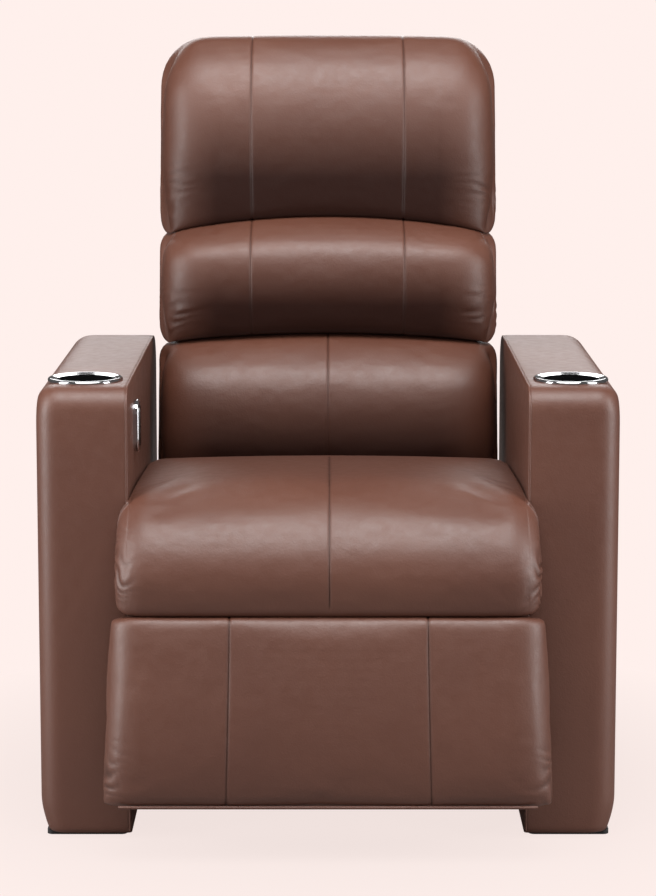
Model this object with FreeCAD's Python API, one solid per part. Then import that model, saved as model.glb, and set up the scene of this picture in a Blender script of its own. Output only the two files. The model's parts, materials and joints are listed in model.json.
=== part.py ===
"""Cinema recliner seat: upholstered arms, sliding seat, reclining back, folding footrest.

The seat faces -Y and stands on z = 0. While it is modelled, y = 0 is the front face of the arms.
The finished pieces are moved so that y = 0 is the middle of the closed seat's depth.
"left" is the sitter's left hand, which is +X.
"""
import FreeCAD, Part
import math
import os

V = FreeCAD.Vector

# Overall form
overall_width = 810.0
arm_width = 129.0
arm_length = 650.0
arm_height = 634.0
glide_height = 6.0
padding = 12.0
panel = 12.0
cover_gap = 0.2
window_round = 30.0
seat_clearance = 4.0

# Arm edges
arm_front_round = 30.0
arm_outer_round = 28.0
arm_inner_round = 6.0
arm_rear_round = 55.0
arm_foot_taper = 12.0
arm_foot_taper_height = 46.0

# Glides
glide_length = 60.0
glide_inset_x = 8.0
glide_inset_y = 22.0

# Cup holders
cup_radius = 39.0
cup_depth = 68.0
cup_wall = 1.5
cup_lip = 1.0
cup_lip_width = 4.0
cup_from_front = 83.0
rim_radius = 52.5
rim_height = 4.5
rim_inner_height = 2.0

# Switch on the inner face of the right arm
switch_y = 130.0
switch_from_top = 72.0
switch_height = 75.0
switch_width = 40.0
bezel_height = 8.0
bezel_band = 7.5
switch_body_depth = 25.0
switch_body_height = 64.0
switch_body_width = 29.0
button_gap = 0.4
button_split = 1.2
button_travel = 1.5
button_thickness = 7.5

# Steel frame on the floor side
rail_depth = 50.0
rail_height = 40.0
rail_wall = 2.5
rail_lift = 2.0
front_rail_y = 230.0
rear_rail_from_rear = 120.0
end_plate = 4.0
end_plate_width = 90.0
end_plate_height = 88.0
floor_hole_radius = 5.5
floor_hole_spacing = 400.0

# Slide channels and shoes
channel_y_front = 75.0
channel_y_rear = 475.0
channel_height = 40.0
channel_depth = 14.0
channel_wall = 2.5
channel_z = 288.0
slide_gap = 0.3
shoe_length = 40.0
shoe_front_y = 230.0
shoe_rear_y = 420.0

# Bolts
bolt_radius = 3.9
bolt_head_radius = 7.0
bolt_head = 3.5
bolt_clearance = 0.2
channel_bolt_inset = 13.0

# Sheet parts and pivots
plate = 4.0
lane_gap = 1.0
plate_to_arm = 26.0
pivot_radius = 5.0
running_gap = 0.06
head_radius = 8.0
head_thickness = 1.5
head_gap = 0.3
link_half_width = 12.0

# Footrest linkage, as side-view points and lengths on the seat carriage
pivot_a = (88.1, 298.3)
pivot_spacing = 60.1
pivot_slope = 139.9
crank_length = 127.6
crank_angle = -75.3
rear_link_length = 220.6
long_link_length = 247.8
torque_tube_radius = 12.0
torque_tube_wall = 2.0

# Drive link between the base and the rear link
drive_arm = 17.15
drive_arm_angle = 130.75
drive_pivot = (38.1, 137.67)
drive_link_length = 177.78
drive_link_angle = 77.525
drive_half_width = 8.5
drive_pin_radius = 4.0
drive_pivot_play = 0.6

# Back hinge and control link
back_pivot = (455.0, 345.0)
back_pin_radius = 6.0
control_arm = 58.95
control_arm_angle = 106.0
control_pivot = (405.0, 153.96)
control_link_length = 249.98
control_link_angle = 82.263
control_pivot_play = 0.2
hanger_width = 40.0
hinge_plate_length = 126.0
hinge_plate_inset = 6.0
hinge_arm_half = 18.0

# Actuator
actuator_z = 235.0
drive_tube_y = 215.0
drive_tube_radius = 12.7
rod_radius = 9.0
rod_gap = 0.08
tube_radius = 14.0
tube_front_y = 262.0
gearbox_to_ear = 30.0
gearbox_length = 70.0
gearbox_width = 64.0
gearbox_height = 52.0
motor_radius = 27.0
motor_length = 95.0
ear_thickness = 10.0
ear_plate = 4.0

# Seat cushion
seat_roll_width = 590.0
seat_roll_front = -95.0
seat_roll_rear = -3.0
seat_bottom = 345.0
seat_roll_drop = 3.0
seat_roll_top = 466.0
seat_rear_y = 398.0
seat_rear_top = (422.0, 484.0)
seat_roll_round = 52.0
seat_end_round = 40.0
seat_overlap = 40.0
seat_crown_run = 150.0
seat_crown_round = 300.0

# Seat deck
seat_rail = 30.0
seat_rail_height = 30.0
seat_rail_front_y = -5.0
seat_rail_rear_y = 365.0
spring_wire = 3.5
spring_pitch = 50.0
spring_width = 52.0
spring_count = 4
seat_spring_side = 81.0

# Back, measured along its own leaning axes from a point on its front face
back_foot = (430.0, 480.0)
back_lean = 15.0
back_to_arm = 18.0
roll_depth = 90.0
lower_roll_start = -42.0
lower_roll_end = 189.0
middle_roll_end = 377.0
head_roll_end = 667.0
roll_belly = 0.36
roll_belly_round = 110.0
roll_set_back = 34.0
roll_top_round = 29.0
roll_foot_set_back = 24.0
roll_round = 38.0
roll_end_round = 26.0
head_set_back = 16.0
head_round = 56.0
head_corner_round = 50.0
roll_gap = 0.3
post_thickness = 25.0
post_start = -60.0
post_end = 600.0
back_rail_height = 40.0
back_rail_depth = 25.0
back_spring_side = 51.0
shell_wall = 6.0
shell_depth = 79.0
shell_front = 96.0
shell_end = 651.0
shell_round = 25.0
back_clearance = 6.0
shell_top_round = 60.0

# Footrest, measured from the top of its front face
pad_top = (-97.3, 336.0)
pad_lean = 6.96
pad_height = 258.0
pad_top_width = 592.0
pad_bottom_width = 612.0
pad_thickness = 54.0
pad_round = 18.0
board_thickness = 10.0
board_margin = 14.0
bracket_flange = 25.0
bracket_sheet = 3.0
bracket_start = 10.0
bracket_end = 200.0
screw_radius = 2.4
screw_head_radius = 5.0
screw_head = 2.4
screw_bite = 8.0

# Small space between pieces of one body that are bolted or glued together
fit_gap = 0.2

# Worked-out places
arm_outer_x = overall_width / 2
arm_inner_x = arm_outer_x - arm_width
arm_mid_x = (arm_outer_x + arm_inner_x) / 2
arm_top = glide_height + arm_height
switch_z = arm_top - switch_from_top
plate_outer_x = arm_inner_x - plate_to_arm
plate_inner_x = plate_outer_x - plate
lane_one = (plate_inner_x - lane_gap - plate, plate_inner_x - lane_gap)
lane_two = (lane_one[0] - lane_gap - plate, lane_one[0] - lane_gap)
lane_three = (lane_two[0] - 4 * lane_gap - plate, lane_two[0] - 4 * lane_gap)
lane_four = (lane_three[0] - lane_gap - plate, lane_three[0] - lane_gap)
cushion_half = arm_inner_x - seat_clearance
back_width = 2 * (arm_inner_x - back_to_arm)
rear_rail_y = arm_length - rear_rail_from_rear
ear_y = rear_rail_y
motor_y = ear_y - gearbox_to_ear - gearbox_length
spring_top = seat_bottom - roll_gap
spring_bottom = spring_top - spring_wire
post_outer_x = lane_one[0]
post_inner_x = post_outer_x - post_thickness
spring_places = [index / (spring_count - 1) - 0.5 for index in range(spring_count)]
seat_spring_span = 2 * (plate_inner_x - seat_spring_side)
back_spring_span = 2 * (post_inner_x - back_spring_side)
spring_plane = roll_depth + roll_gap
back_rail_front = spring_plane + spring_wire
shell_half = back_width / 2 - back_clearance
shell_rear = shell_front + shell_depth
shell_inner_round = shell_round - shell_wall
post_corner_x = post_outer_x - (shell_half - shell_round)
post_rear = shell_rear - shell_round + math.sqrt((shell_inner_round - roll_gap) ** 2 - post_corner_x ** 2)
post_depth = post_rear - spring_plane
pad_shell_depth = pad_thickness + fit_gap


def polar(start, length, angle):
    """Side-view point at a length and an angle in degrees from another point."""
    turn = math.radians(angle)
    return (start[0] + length * math.cos(turn), start[1] + length * math.sin(turn))


# Linkage points at rest
pivot_b = polar(pivot_a, pivot_spacing, pivot_slope + 180)
pivot_c = polar(pivot_b, crank_length, crank_angle)
pivot_x = polar(pivot_a, crank_length, crank_angle)
pivot_d = polar(pivot_a, rear_link_length, crank_angle)
pivot_e = polar(pivot_c, long_link_length, pivot_slope)
pivot_f = polar(pivot_d, long_link_length - pivot_spacing, pivot_slope)
drive_tip = polar(pivot_a, drive_arm, drive_arm_angle)
drive_link_tip = polar(drive_pivot, drive_link_length, drive_link_angle)
control_tip = polar(back_pivot, control_arm, control_arm_angle)
control_link_tip = polar(control_pivot, control_link_length, control_link_angle)


def outline(corners, place):
    """Closed wire through (a, b, radius) corners, each one rounded by a tangent arc."""
    arcs = []
    for index, (b_x, b_y, radius) in enumerate(corners):
        corner = V(b_x, b_y, 0)
        before = V(corners[index - 1][0] - b_x, corners[index - 1][1] - b_y, 0).normalize()
        following = corners[(index + 1) % len(corners)]
        after = V(following[0] - b_x, following[1] - b_y, 0).normalize()
        half = before.getAngle(after) / 2
        inward = (before + after).normalize()
        reach = radius / math.tan(half)
        middle = corner + inward * (radius / math.sin(half) - radius)
        arcs.append((corner + before * reach, middle, corner + after * reach, radius))
    edges = []
    for index, (start, middle, end, radius) in enumerate(arcs):
        if radius > 0:
            edges.append(Part.Arc(place(start), place(middle), place(end)).toShape())
        next_start = arcs[(index + 1) % len(arcs)][0]
        if (next_start - end).Length > 1e-6:
            edges.append(Part.LineSegment(place(end), place(next_start)).toShape())
    return Part.Wire(edges)


def side_prism(corners, x_from, x_to):
    """Profile seen from the side, in y and z, run along x."""
    face = Part.Face(outline(corners, lambda p: V(x_from, p.x, p.y)))
    return face.extrude(V(x_to - x_from, 0, 0))


def front_prism(corners, y_from, y_to):
    """Profile seen from the front, in x and z, run along y."""
    face = Part.Face(outline(corners, lambda p: V(p.x, y_from, p.y)))
    return face.extrude(V(0, y_to - y_from, 0))


def plan_prism(corners, z_from, z_to):
    """Profile seen from above, in x and y, run along z."""
    face = Part.Face(outline(corners, lambda p: V(p.x, p.y, z_from)))
    return face.extrude(V(0, 0, z_to - z_from))


def rectangle(a_from, a_to, b_from, b_to, radius=0.0):
    return [(a_from, b_from, radius), (a_to, b_from, radius), (a_to, b_to, radius), (a_from, b_to, radius)]


def block(x_from, x_to, y_from, y_to, z_from, z_to):
    return Part.makeBox(x_to - x_from, y_to - y_from, z_to - z_from, V(x_from, y_from, z_from))


def cross_pin(point, radius, x_from, x_to):
    """Round bar along x at a side-view point."""
    return Part.makeCylinder(radius, x_to - x_from, V(x_from, point[0], point[1]), V(1, 0, 0))


def mirrored(shape):
    return shape.mirror(V(0, 0, 0), V(1, 0, 0))


def group(shapes):
    return Part.makeCompound(shapes)


def pair(shape):
    """A left piece and its mirror image as one group."""
    return group([shape, mirrored(shape)])


def leaned(shape, foot, degrees):
    """Turn a shape about the x axis and set its own origin on a side-view point."""
    turned = shape.copy()
    turned.rotate(V(0, 0, 0), V(1, 0, 0), -degrees)
    turned.translate(V(0, foot[0], foot[1]))
    return turned


def local_point(point, foot, degrees):
    """Side-view point in the leaning axes of the back or the footrest."""
    turn = math.radians(degrees)
    y = point[0] - foot[0]
    z = point[1] - foot[1]
    return (y * math.cos(turn) - z * math.sin(turn), y * math.sin(turn) + z * math.cos(turn))


def bar(start, end, half_width, x_from, x_to):
    """Flat bar with round ends between two side-view points."""
    length = math.dist(start, end)
    angle = math.degrees(math.atan2(end[1] - start[1], end[0] - start[0]))
    corners = rectangle(-half_width, length + half_width, -half_width, half_width, half_width)
    shape = side_prism(corners, x_from, x_to)
    shape.rotate(V(0, 0, 0), V(1, 0, 0), angle)
    shape.translate(V(0, start[0], start[1]))
    return shape


def bored(shape, point, radius, x_from, x_to):
    return shape.cut(cross_pin(point, radius, x_from - 1, x_to + 1))


def headed_pin(point, radius, root_x, far_x, head):
    """Pivot pin from the plate that carries it through its neighbour, with a flat inner head."""
    shank = cross_pin(point, radius, far_x - head_gap - head_thickness, root_x)
    flat_head = cross_pin(point, head, far_x - head_gap - head_thickness, far_x - head_gap)
    return shank.fuse(flat_head)


def round_rims(shape, radius, planes):
    """Round the rims of a prism that lie wholly on the given x planes."""
    rims = []
    for edge in shape.Edges:
        for plane_x in planes:
            if all(abs(vertex.X - plane_x) < 1e-4 for vertex in edge.Vertexes):
                rims.append(edge)
    return shape.makeFillet(radius, rims)


def end_edges(roll, half_width, rear_y):
    """Edges round both ends of a roll, apart from those on its rear face."""
    found = []
    for edge in roll.Edges:
        on_end = all(abs(abs(vertex.X) - half_width) < 1e-4 for vertex in edge.Vertexes)
        behind = all(abs(vertex.Y - rear_y) < 1e-4 for vertex in edge.Vertexes)
        if on_end and not behind:
            found.append(edge)
    return found


# Arms

def arm_block(inset, foot_z):
    """Outer form of one arm, drawn in by an inset on every side but the open foot."""
    x_from = arm_inner_x + inset
    x_to = arm_outer_x - inset
    y_to = arm_length - inset
    top = arm_top - inset
    outer = arm_outer_round - inset
    inner = max(arm_inner_round - inset, 1.0)
    front = arm_front_round - inset
    plan = [(x_from, inset, inner), (x_to, inset, outer), (x_to, y_to, arm_rear_round - inset), (x_from, y_to, inner)]
    side = [(inset, foot_z, 0), (y_to, foot_z, 0), (y_to, top, outer), (inset, top, front)]
    taper_z = glide_height + arm_foot_taper_height
    face = [
        (x_from, foot_z, 0), (x_to - arm_foot_taper, foot_z, 0), (x_to, taper_z, arm_foot_taper_height),
        (x_to, top, outer), (x_from, top, inner)]
    block_form = plan_prism(plan, foot_z, top).common(side_prism(side, x_from, x_to))
    return block_form.common(front_prism(face, inset, y_to))


def arm_bolt_points():
    """Side-view points where the steel frame is bolted to the arm."""
    points = [(channel_y_front + channel_bolt_inset, channel_z), (channel_y_rear - channel_bolt_inset, channel_z)]
    for rail_y in (front_rail_y, rear_rail_y):
        for side in (-1, 1):
            points.append((rail_y + side * end_plate_width / 3, rail_lift + glide_height + end_plate_height - 2 * bolt_head_radius))
    return points


def bolt_holes():
    reach = arm_inner_x + padding + panel + 3
    radius = bolt_radius + bolt_clearance
    holes = [cross_pin(point, radius, plate_outer_x, reach) for point in arm_bolt_points()]
    return group(holes)


def cup_hole():
    return upright(cup_radius + cup_wall + fit_gap, arm_top - cup_depth - cup_wall - fit_gap, arm_top + 1)


def switch_pocket(margin):
    """Oval pocket for the switch body, drawn in the left arm and mirrored with it."""
    half_y = switch_body_width / 2 + margin
    half_z = switch_body_height / 2 + margin
    corners = rectangle(switch_y - half_y, switch_y + half_y, switch_z - half_z, switch_z + half_z, half_y)
    return side_prism(corners, arm_inner_x, arm_inner_x + switch_body_depth + margin)


def arm_cover(with_switch):
    """Padded leather cover, open at the foot."""
    cover = arm_block(0, glide_height).cut(arm_block(padding, glide_height - 1))
    cover = cover.cut(bolt_holes()).cut(cup_hole())
    if with_switch:
        cover = cover.cut(switch_pocket(fit_gap))
    return cover


def arm_frame(with_switch):
    """Glued plywood box: panels, end boards, top board and a foot board at each glide."""
    inset = padding + cover_gap
    frame = arm_block(inset, glide_height)
    inner = block(
        arm_inner_x + inset + panel, arm_outer_x - inset - panel, inset + panel, arm_length - inset - panel,
        glide_height - 1, arm_top - inset - panel)
    feet = []
    for y_from in (inset, arm_length - inset - glide_length - glide_inset_y):
        foot = block(
            arm_inner_x + inset, arm_outer_x - inset, y_from, y_from + glide_length + glide_inset_y,
            glide_height, glide_height + panel)
        feet.append(foot.common(frame))
    frame = frame.cut(inner).fuse(feet).removeSplitter()
    window = rectangle(arm_length * 0.32, arm_length * 0.66, arm_top * 0.53, arm_top * 0.8, window_round)
    frame = frame.cut(side_prism(window, arm_inner_x, arm_mid_x))
    frame = frame.cut(bolt_holes()).cut(cup_hole())
    if with_switch:
        frame = frame.cut(switch_pocket(fit_gap))
    return frame


def arm_glides():
    """Black foot blocks under the front and the rear of one arm."""
    pads = []
    for y_from in (glide_inset_y, arm_length - glide_inset_y - glide_length):
        corners = rectangle(arm_inner_x + glide_inset_x, arm_outer_x - glide_inset_x, y_from, y_from + glide_length, 8.0)
        pads.append(plan_prism(corners, 0, glide_height))
    return pads


def arm_bolts():
    bolts = []
    for point in arm_bolt_points():
        on_channel = point[1] == channel_z
        face_x = arm_inner_x - (channel_wall if on_channel else end_plate)
        shank = cross_pin(point, bolt_radius, face_x, arm_inner_x + padding + panel + 2)
        head = cross_pin(point, bolt_head_radius, face_x - bolt_head, face_x)
        bolts.append(shank.fuse(head))
    return bolts


def upright(radius, z_from, z_to):
    """Round bar along z in the middle of the cup holder."""
    return Part.makeCylinder(radius, z_to - z_from, V(arm_mid_x, cup_from_front, z_from))


def cup_liner():
    """Black cup that hangs by a thin lip on the top of the arm."""
    bottom = arm_top - cup_depth
    lip_top = arm_top + cup_lip
    cup = upright(cup_radius + cup_wall, bottom - cup_wall, lip_top)
    lip = upright(cup_radius + cup_lip_width, arm_top, lip_top)
    return cup.fuse(lip).cut(upright(cup_radius, bottom, lip_top + 1)).removeSplitter()


def cup_rim():
    """Dished chrome ring over the lip: low at the cup, highest near its outer edge."""
    inner = cup_radius + fit_gap
    under = arm_top + cup_lip + fit_gap
    lip_edge = cup_radius + cup_lip_width + fit_gap
    crown = rim_radius - 3
    crown_z = arm_top + rim_height
    slope_start = V(inner, 0, arm_top + rim_inner_height)
    slope_end = V(crown - 2, 0, crown_z - 0.3)
    edges = [Part.LineSegment(V(inner, 0, under), slope_start), Part.LineSegment(slope_start, slope_end)]
    edges.append(Part.Arc(slope_end, V(crown + 1, 0, crown_z - 0.2), V(rim_radius, 0, arm_top)))
    edges.append(Part.LineSegment(V(rim_radius, 0, arm_top), V(lip_edge, 0, arm_top)))
    edges.append(Part.LineSegment(V(lip_edge, 0, arm_top), V(lip_edge, 0, under)))
    edges.append(Part.LineSegment(V(lip_edge, 0, under), V(inner, 0, under)))
    profile = Part.Wire([edge.toShape() for edge in edges])
    ring = Part.Face(profile).revolve(V(0, 0, 0), V(0, 0, 1), 360)
    ring.translate(V(arm_mid_x, cup_from_front, 0))
    return ring


# Switch, drawn on the left arm and mirrored to the right

def switch_oval(half_y, half_z, x_from, x_to):
    corners = rectangle(switch_y - half_y, switch_y + half_y, switch_z - half_z, switch_z + half_z, half_y)
    return side_prism(corners, x_from, x_to)


def switch_bezel():
    face_x = arm_inner_x - bezel_height
    ring = switch_oval(switch_width / 2, switch_height / 2, face_x, arm_inner_x)
    ring = round_rims(ring, 3.0, [face_x])
    opening = switch_oval(
        switch_width / 2 - bezel_band, switch_height / 2 - bezel_band, face_x - 1, arm_inner_x + 1)
    return ring.cut(opening)


def switch_housing():
    return switch_oval(switch_body_width / 2, switch_body_height / 2, arm_inner_x, arm_inner_x + switch_body_depth)


def switch_button(side):
    """Upper (1) or lower (-1) half of the oval key pair."""
    root_x = arm_inner_x - button_travel - fit_gap
    face_x = root_x - button_thickness
    half_y = switch_width / 2 - bezel_band - button_gap
    half_z = switch_height / 2 - bezel_band - button_gap
    keys = round_rims(switch_oval(half_y, half_z, face_x, root_x), 1.2, [face_x])
    near = switch_z + side * button_split / 2
    far = switch_z + side * switch_height
    keep = block(face_x - 1, root_x + 1, switch_y - switch_width, switch_y + switch_width, min(near, far), max(near, far))
    return keys.common(keep)


# Base

def slide_channel():
    """Pressed channel on the arm, with a hanger for the back control link."""
    x_web = arm_inner_x - channel_wall
    low = channel_z - channel_height / 2
    high = channel_z + channel_height / 2
    web = block(x_web, arm_inner_x, channel_y_front, channel_y_rear, low, high)
    floor = block(arm_inner_x - channel_depth, arm_inner_x, channel_y_front, channel_y_rear, low, low + channel_wall)
    roof = block(arm_inner_x - channel_depth, arm_inner_x, channel_y_front, channel_y_rear, high - channel_wall, high)
    hanger_foot = control_pivot[1] - hanger_width / 2
    half = hanger_width / 2
    hanger = side_prism(
        [(control_pivot[0] - half, hanger_foot, half - 1), (control_pivot[0] + half, hanger_foot, half - 1),
         (control_pivot[0] + half, low + channel_wall, 0), (control_pivot[0] - half, low + channel_wall, 0)],
        x_web, arm_inner_x)
    boss = cross_pin(control_pivot, 1.8 * pivot_radius, lane_two[1] + head_gap, x_web)
    pin = headed_pin(control_pivot, pivot_radius, x_web, lane_two[0], head_radius)
    channel = web.fuse([floor, roof, hanger, boss, pin])
    return channel.cut(bolt_holes()).removeSplitter()


def cross_rail(rail_y):
    """Box rail across the base with a bolted plate at each end and two floor holes."""
    half = arm_inner_x - end_plate
    low = glide_height + rail_lift
    high = low + rail_height
    y_from = rail_y - rail_depth / 2
    y_to = rail_y + rail_depth / 2
    profile = rectangle(y_from, y_to, low, high, 4.0)
    hollow = rectangle(y_from + rail_wall, y_to - rail_wall, low + rail_wall, high - rail_wall, 1.5)
    tube = side_prism(profile, -half, half).cut(side_prism(hollow, -half - 1, half + 1))
    plate_corners = rectangle(rail_y - end_plate_width / 2, rail_y + end_plate_width / 2, low, low + end_plate_height, 6.0)
    end = side_prism(plate_corners, half, arm_inner_x)
    rail = tube.fuse([end, mirrored(end)])
    holes = bolt_holes()
    rail = rail.cut(holes).cut(mirrored(holes))
    for side in (-1, 1):
        drill = Part.makeCylinder(floor_hole_radius, rail_height + 2, V(side * floor_hole_spacing / 2, rail_y, low - 1))
        rail = rail.cut(drill)
    return rail


def drive_bracket():
    """Plate from the front cross rail up to the pivot of the drive link, with its pin."""
    low = glide_height + rail_lift
    top = low + rail_height
    rear = front_rail_y + rail_depth / 2
    front = front_rail_y - rail_depth / 2
    arm = bar(drive_pivot, (front + rail_depth / 2, top + 6), 14.0, lane_four[0], lane_four[1])
    foot = side_prism(
        [(front, top, 0), (rear, top, 0), (rear, top + 14, 6), (front, top + 14, 6)], lane_four[0], lane_four[1])
    below = block(lane_four[0] - 1, lane_four[1] + 1, 0, rear_rail_y, 0, top)
    pin = cross_pin(drive_pivot, drive_pin_radius, lane_four[0], lane_three[1] + head_gap + head_thickness)
    head = cross_pin(drive_pivot, drive_pin_radius + 2, lane_three[1] + head_gap, lane_three[1] + head_gap + head_thickness)
    return arm.fuse(foot).cut(below).fuse([pin, head]).removeSplitter()


def actuator_bracket():
    """Clevis that stands on the rear cross rail and holds the actuator's rear ear by its pin."""
    top = glide_height + rail_lift + rail_height
    gap = ear_thickness / 2 + fit_gap
    ears = []
    for side in (-1, 1):
        x_from = min(side * gap, side * (gap + ear_plate))
        ears.append(side_prism(
            [(rear_rail_y - 22, top + ear_plate, 0), (rear_rail_y + 22, top + ear_plate, 0),
             (ear_y + 14, actuator_z + 14, 13), (ear_y - 14, actuator_z + 14, 13)],
            x_from, x_from + ear_plate))
    foot = block(-gap - 24, gap + 24, rear_rail_y - 22, rear_rail_y + 22, top, top + ear_plate)
    pin = cross_pin((ear_y, actuator_z), pivot_radius, -gap - ear_plate - 3, gap + ear_plate + 3)
    return foot.fuse(ears).fuse(pin).removeSplitter()


def actuator_motor():
    """Gearbox with the motor hanging below it and a rear ear on the bracket's pin."""
    low = actuator_z - gearbox_height / 2
    profile = rectangle(motor_y, motor_y + gearbox_length, low, low + gearbox_height, 9.0)
    gearbox = round_rims(side_prism(profile, -gearbox_width / 2, gearbox_width / 2), 5.0, [-gearbox_width / 2, gearbox_width / 2])
    motor_at = V(0, motor_y + gearbox_length / 2, low - motor_length + 2)
    motor = Part.makeCylinder(motor_radius, motor_length, motor_at)
    motor = motor.makeFillet(5.0, [motor.Edges[2]])
    ear = side_prism(
        rectangle(motor_y + gearbox_length - 5, ear_y + 13, actuator_z - 13, actuator_z + 13, 12.5),
        -ear_thickness / 2, ear_thickness / 2)
    body = gearbox.fuse([motor, ear])
    body = body.cut(cross_pin((ear_y, actuator_z), pivot_radius + running_gap, -ear_thickness, ear_thickness))
    return body.removeSplitter()


def along_y(radius, y_from, y_to):
    return Part.makeCylinder(radius, y_to - y_from, V(0, y_from, actuator_z), V(0, 1, 0))


def actuator_tube():
    """Outer tube with a thicker gland at its mouth."""
    tube = along_y(tube_radius, tube_front_y, motor_y)
    gland = along_y(tube_radius + 2, tube_front_y, tube_front_y + 14)
    return tube.fuse(gland).cut(along_y(rod_radius + rod_gap, tube_front_y - 1, motor_y - 12)).removeSplitter()


def actuator_rod():
    """Push rod with a forked end round the drive cross tube."""
    rod = along_y(rod_radius, drive_tube_y + drive_tube_radius + 6, motor_y - 20)
    collar_corners = rectangle(
        drive_tube_y - drive_tube_radius - 5, drive_tube_y + drive_tube_radius + 14,
        actuator_z - drive_tube_radius - 5, actuator_z + drive_tube_radius + 5, 10.0)
    collar = side_prism(collar_corners, -15, 15)
    bore = cross_pin((drive_tube_y, actuator_z), drive_tube_radius + running_gap, -20, 20)
    return rod.fuse(collar).cut(bore).removeSplitter()


# Seat carriage

def seat_plate():
    """Side plate of the carriage: front nose, linkage pivots, drive tube lug, shoes and back hinge."""
    top = spring_bottom
    lug = drive_tube_radius + 10
    hinge = 17.0
    corners = [
        (seat_rail_front_y - 4, top, 6), (seat_rail_front_y - 4, top - seat_rail_height, 8),
        (pivot_a[0] - 24, pivot_a[1] - 10, 20), (pivot_b[0] - 22, pivot_b[1] - 16, 12),
        (pivot_b[0] + 14, pivot_b[1] - 18, 14), (drive_tube_y - lug, actuator_z - lug, 14),
        (drive_tube_y + lug, actuator_z - lug, 14), (drive_tube_y + lug + 34, channel_z - 28, 26),
        (back_pivot[0] - 12, channel_z - 28, 22), (back_pivot[0] + hinge, back_pivot[1] - 12, 16),
        (back_pivot[0] + hinge, back_pivot[1] + hinge, 14), (back_pivot[0] - hinge, back_pivot[1] + hinge, 14),
        (back_pivot[0] - hinge - 34, top, 14)]
    body = side_prism(corners, plate_inner_x, plate_outer_x)
    body = bored(body, (drive_tube_y, actuator_z), drive_tube_radius + fit_gap, plate_inner_x, plate_outer_x)
    pins = [
        headed_pin(pivot_a, pivot_radius, plate_inner_x, lane_one[0], pivot_radius + 1.4),
        headed_pin(pivot_b, pivot_radius, plate_inner_x, lane_one[0], head_radius),
        cross_pin(back_pivot, back_pin_radius, lane_one[0] - head_gap, plate_outer_x),
        cross_pin(back_pivot, back_pin_radius + 4, plate_outer_x, plate_outer_x + 2 * head_thickness)]
    return body.fuse(pins).removeSplitter()


def slide_shoes():
    """Two nylon shoes on one plate, running in the channel."""
    half = channel_height / 2 - channel_wall - slide_gap
    shoes = []
    for y in (shoe_front_y, shoe_rear_y):
        corners = rectangle(y - shoe_length / 2, y + shoe_length / 2, channel_z - half, channel_z + half, 4.0)
        shoes.append(side_prism(corners, plate_outer_x, arm_inner_x - channel_wall - slide_gap))
    return shoes


def seat_cross_rail(y_from):
    half = plate_inner_x - fit_gap
    outer = rectangle(y_from, y_from + seat_rail, spring_bottom - seat_rail_height, spring_bottom, 3.0)
    inner = rectangle(
        y_from + rail_wall, y_from + seat_rail - rail_wall, spring_bottom - seat_rail_height + rail_wall,
        spring_bottom - rail_wall, 1.0)
    return side_prism(outer, -half, half).cut(side_prism(inner, -half - 1, half + 1))


def zigzag(length, width, pitch, wire):
    """Flat sinuous spring along +Y from the origin, its wire square, lying on z = 0."""
    turns = int(length // pitch)
    start = (length - turns * pitch) / 2
    half = width / 2 - pitch / 2
    pieces = [block(-half, half, start - wire / 2, start + wire / 2, 0, wire)]
    for index in range(turns):
        y = start + index * pitch
        side = 1 if index % 2 == 0 else -1
        centre = V(side * half, y + pitch / 2, 0)
        ring = Part.makeCylinder(pitch / 2 + wire / 2, wire, centre).cut(
            Part.makeCylinder(pitch / 2 - wire / 2, wire, centre))
        outer_x = side * (half + pitch)
        bend = ring.common(block(
            min(side * half, outer_x), max(side * half, outer_x), y - pitch, y + 2 * pitch, 0, wire))
        pieces.append(bend)
        pieces.append(block(-half, half, y + pitch - wire / 2, y + pitch + wire / 2, 0, wire))
    return pieces[0].fuse(pieces[1:]).removeSplitter()


def seat_springs():
    length = seat_rail_rear_y - seat_rail_front_y + seat_rail / 2
    springs = []
    for place in spring_places:
        spring = zigzag(length, spring_width, spring_pitch, spring_wire)
        spring.translate(V(place * seat_spring_span, seat_rail_front_y + seat_rail / 4, spring_bottom))
        springs.append(spring)
    return group(springs)


def seat_cushion():
    """Wide front roll and the cushion behind it, crowned towards the back."""
    roll_bottom = seat_bottom - seat_roll_drop
    roll_corners = [
        (seat_roll_front, roll_bottom, seat_roll_round), (seat_roll_rear, roll_bottom, 0),
        (seat_roll_rear, seat_roll_top, 0), (seat_roll_front, seat_roll_top, seat_roll_round)]
    half = seat_roll_width / 2
    roll = side_prism(roll_corners, -half, half)
    roll = roll.makeFillet(seat_end_round, end_edges(roll, half, seat_roll_rear))
    top_y, top_z = seat_rear_top
    body_corners = [
        (seat_roll_rear - seat_overlap, seat_bottom, 0), (seat_rear_y, seat_bottom, 12), (top_y, top_z, 14),
        (top_y - seat_crown_run, top_z, seat_crown_round), (seat_roll_rear - seat_overlap, seat_roll_top, 0)]
    body = round_rims(side_prism(body_corners, -cushion_half, cushion_half), 8.0, [-cushion_half, cushion_half])
    return roll.fuse(body).removeSplitter()


def drive_cross_tube():
    length = plate_outer_x
    outer = cross_pin((drive_tube_y, actuator_z), drive_tube_radius, -length, length)
    return outer.cut(cross_pin((drive_tube_y, actuator_z), drive_tube_radius - rail_wall, -length - 1, length + 1))


# Footrest linkage

def front_link():
    """Crank beside the seat plate, with the pin that carries the long link."""
    link = bar(pivot_b, pivot_c, link_half_width, *lane_one)
    link = bored(link, pivot_b, pivot_radius + running_gap, *lane_one)
    return link.fuse(headed_pin(pivot_c, pivot_radius, lane_one[0], lane_two[0], head_radius)).removeSplitter()


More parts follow.
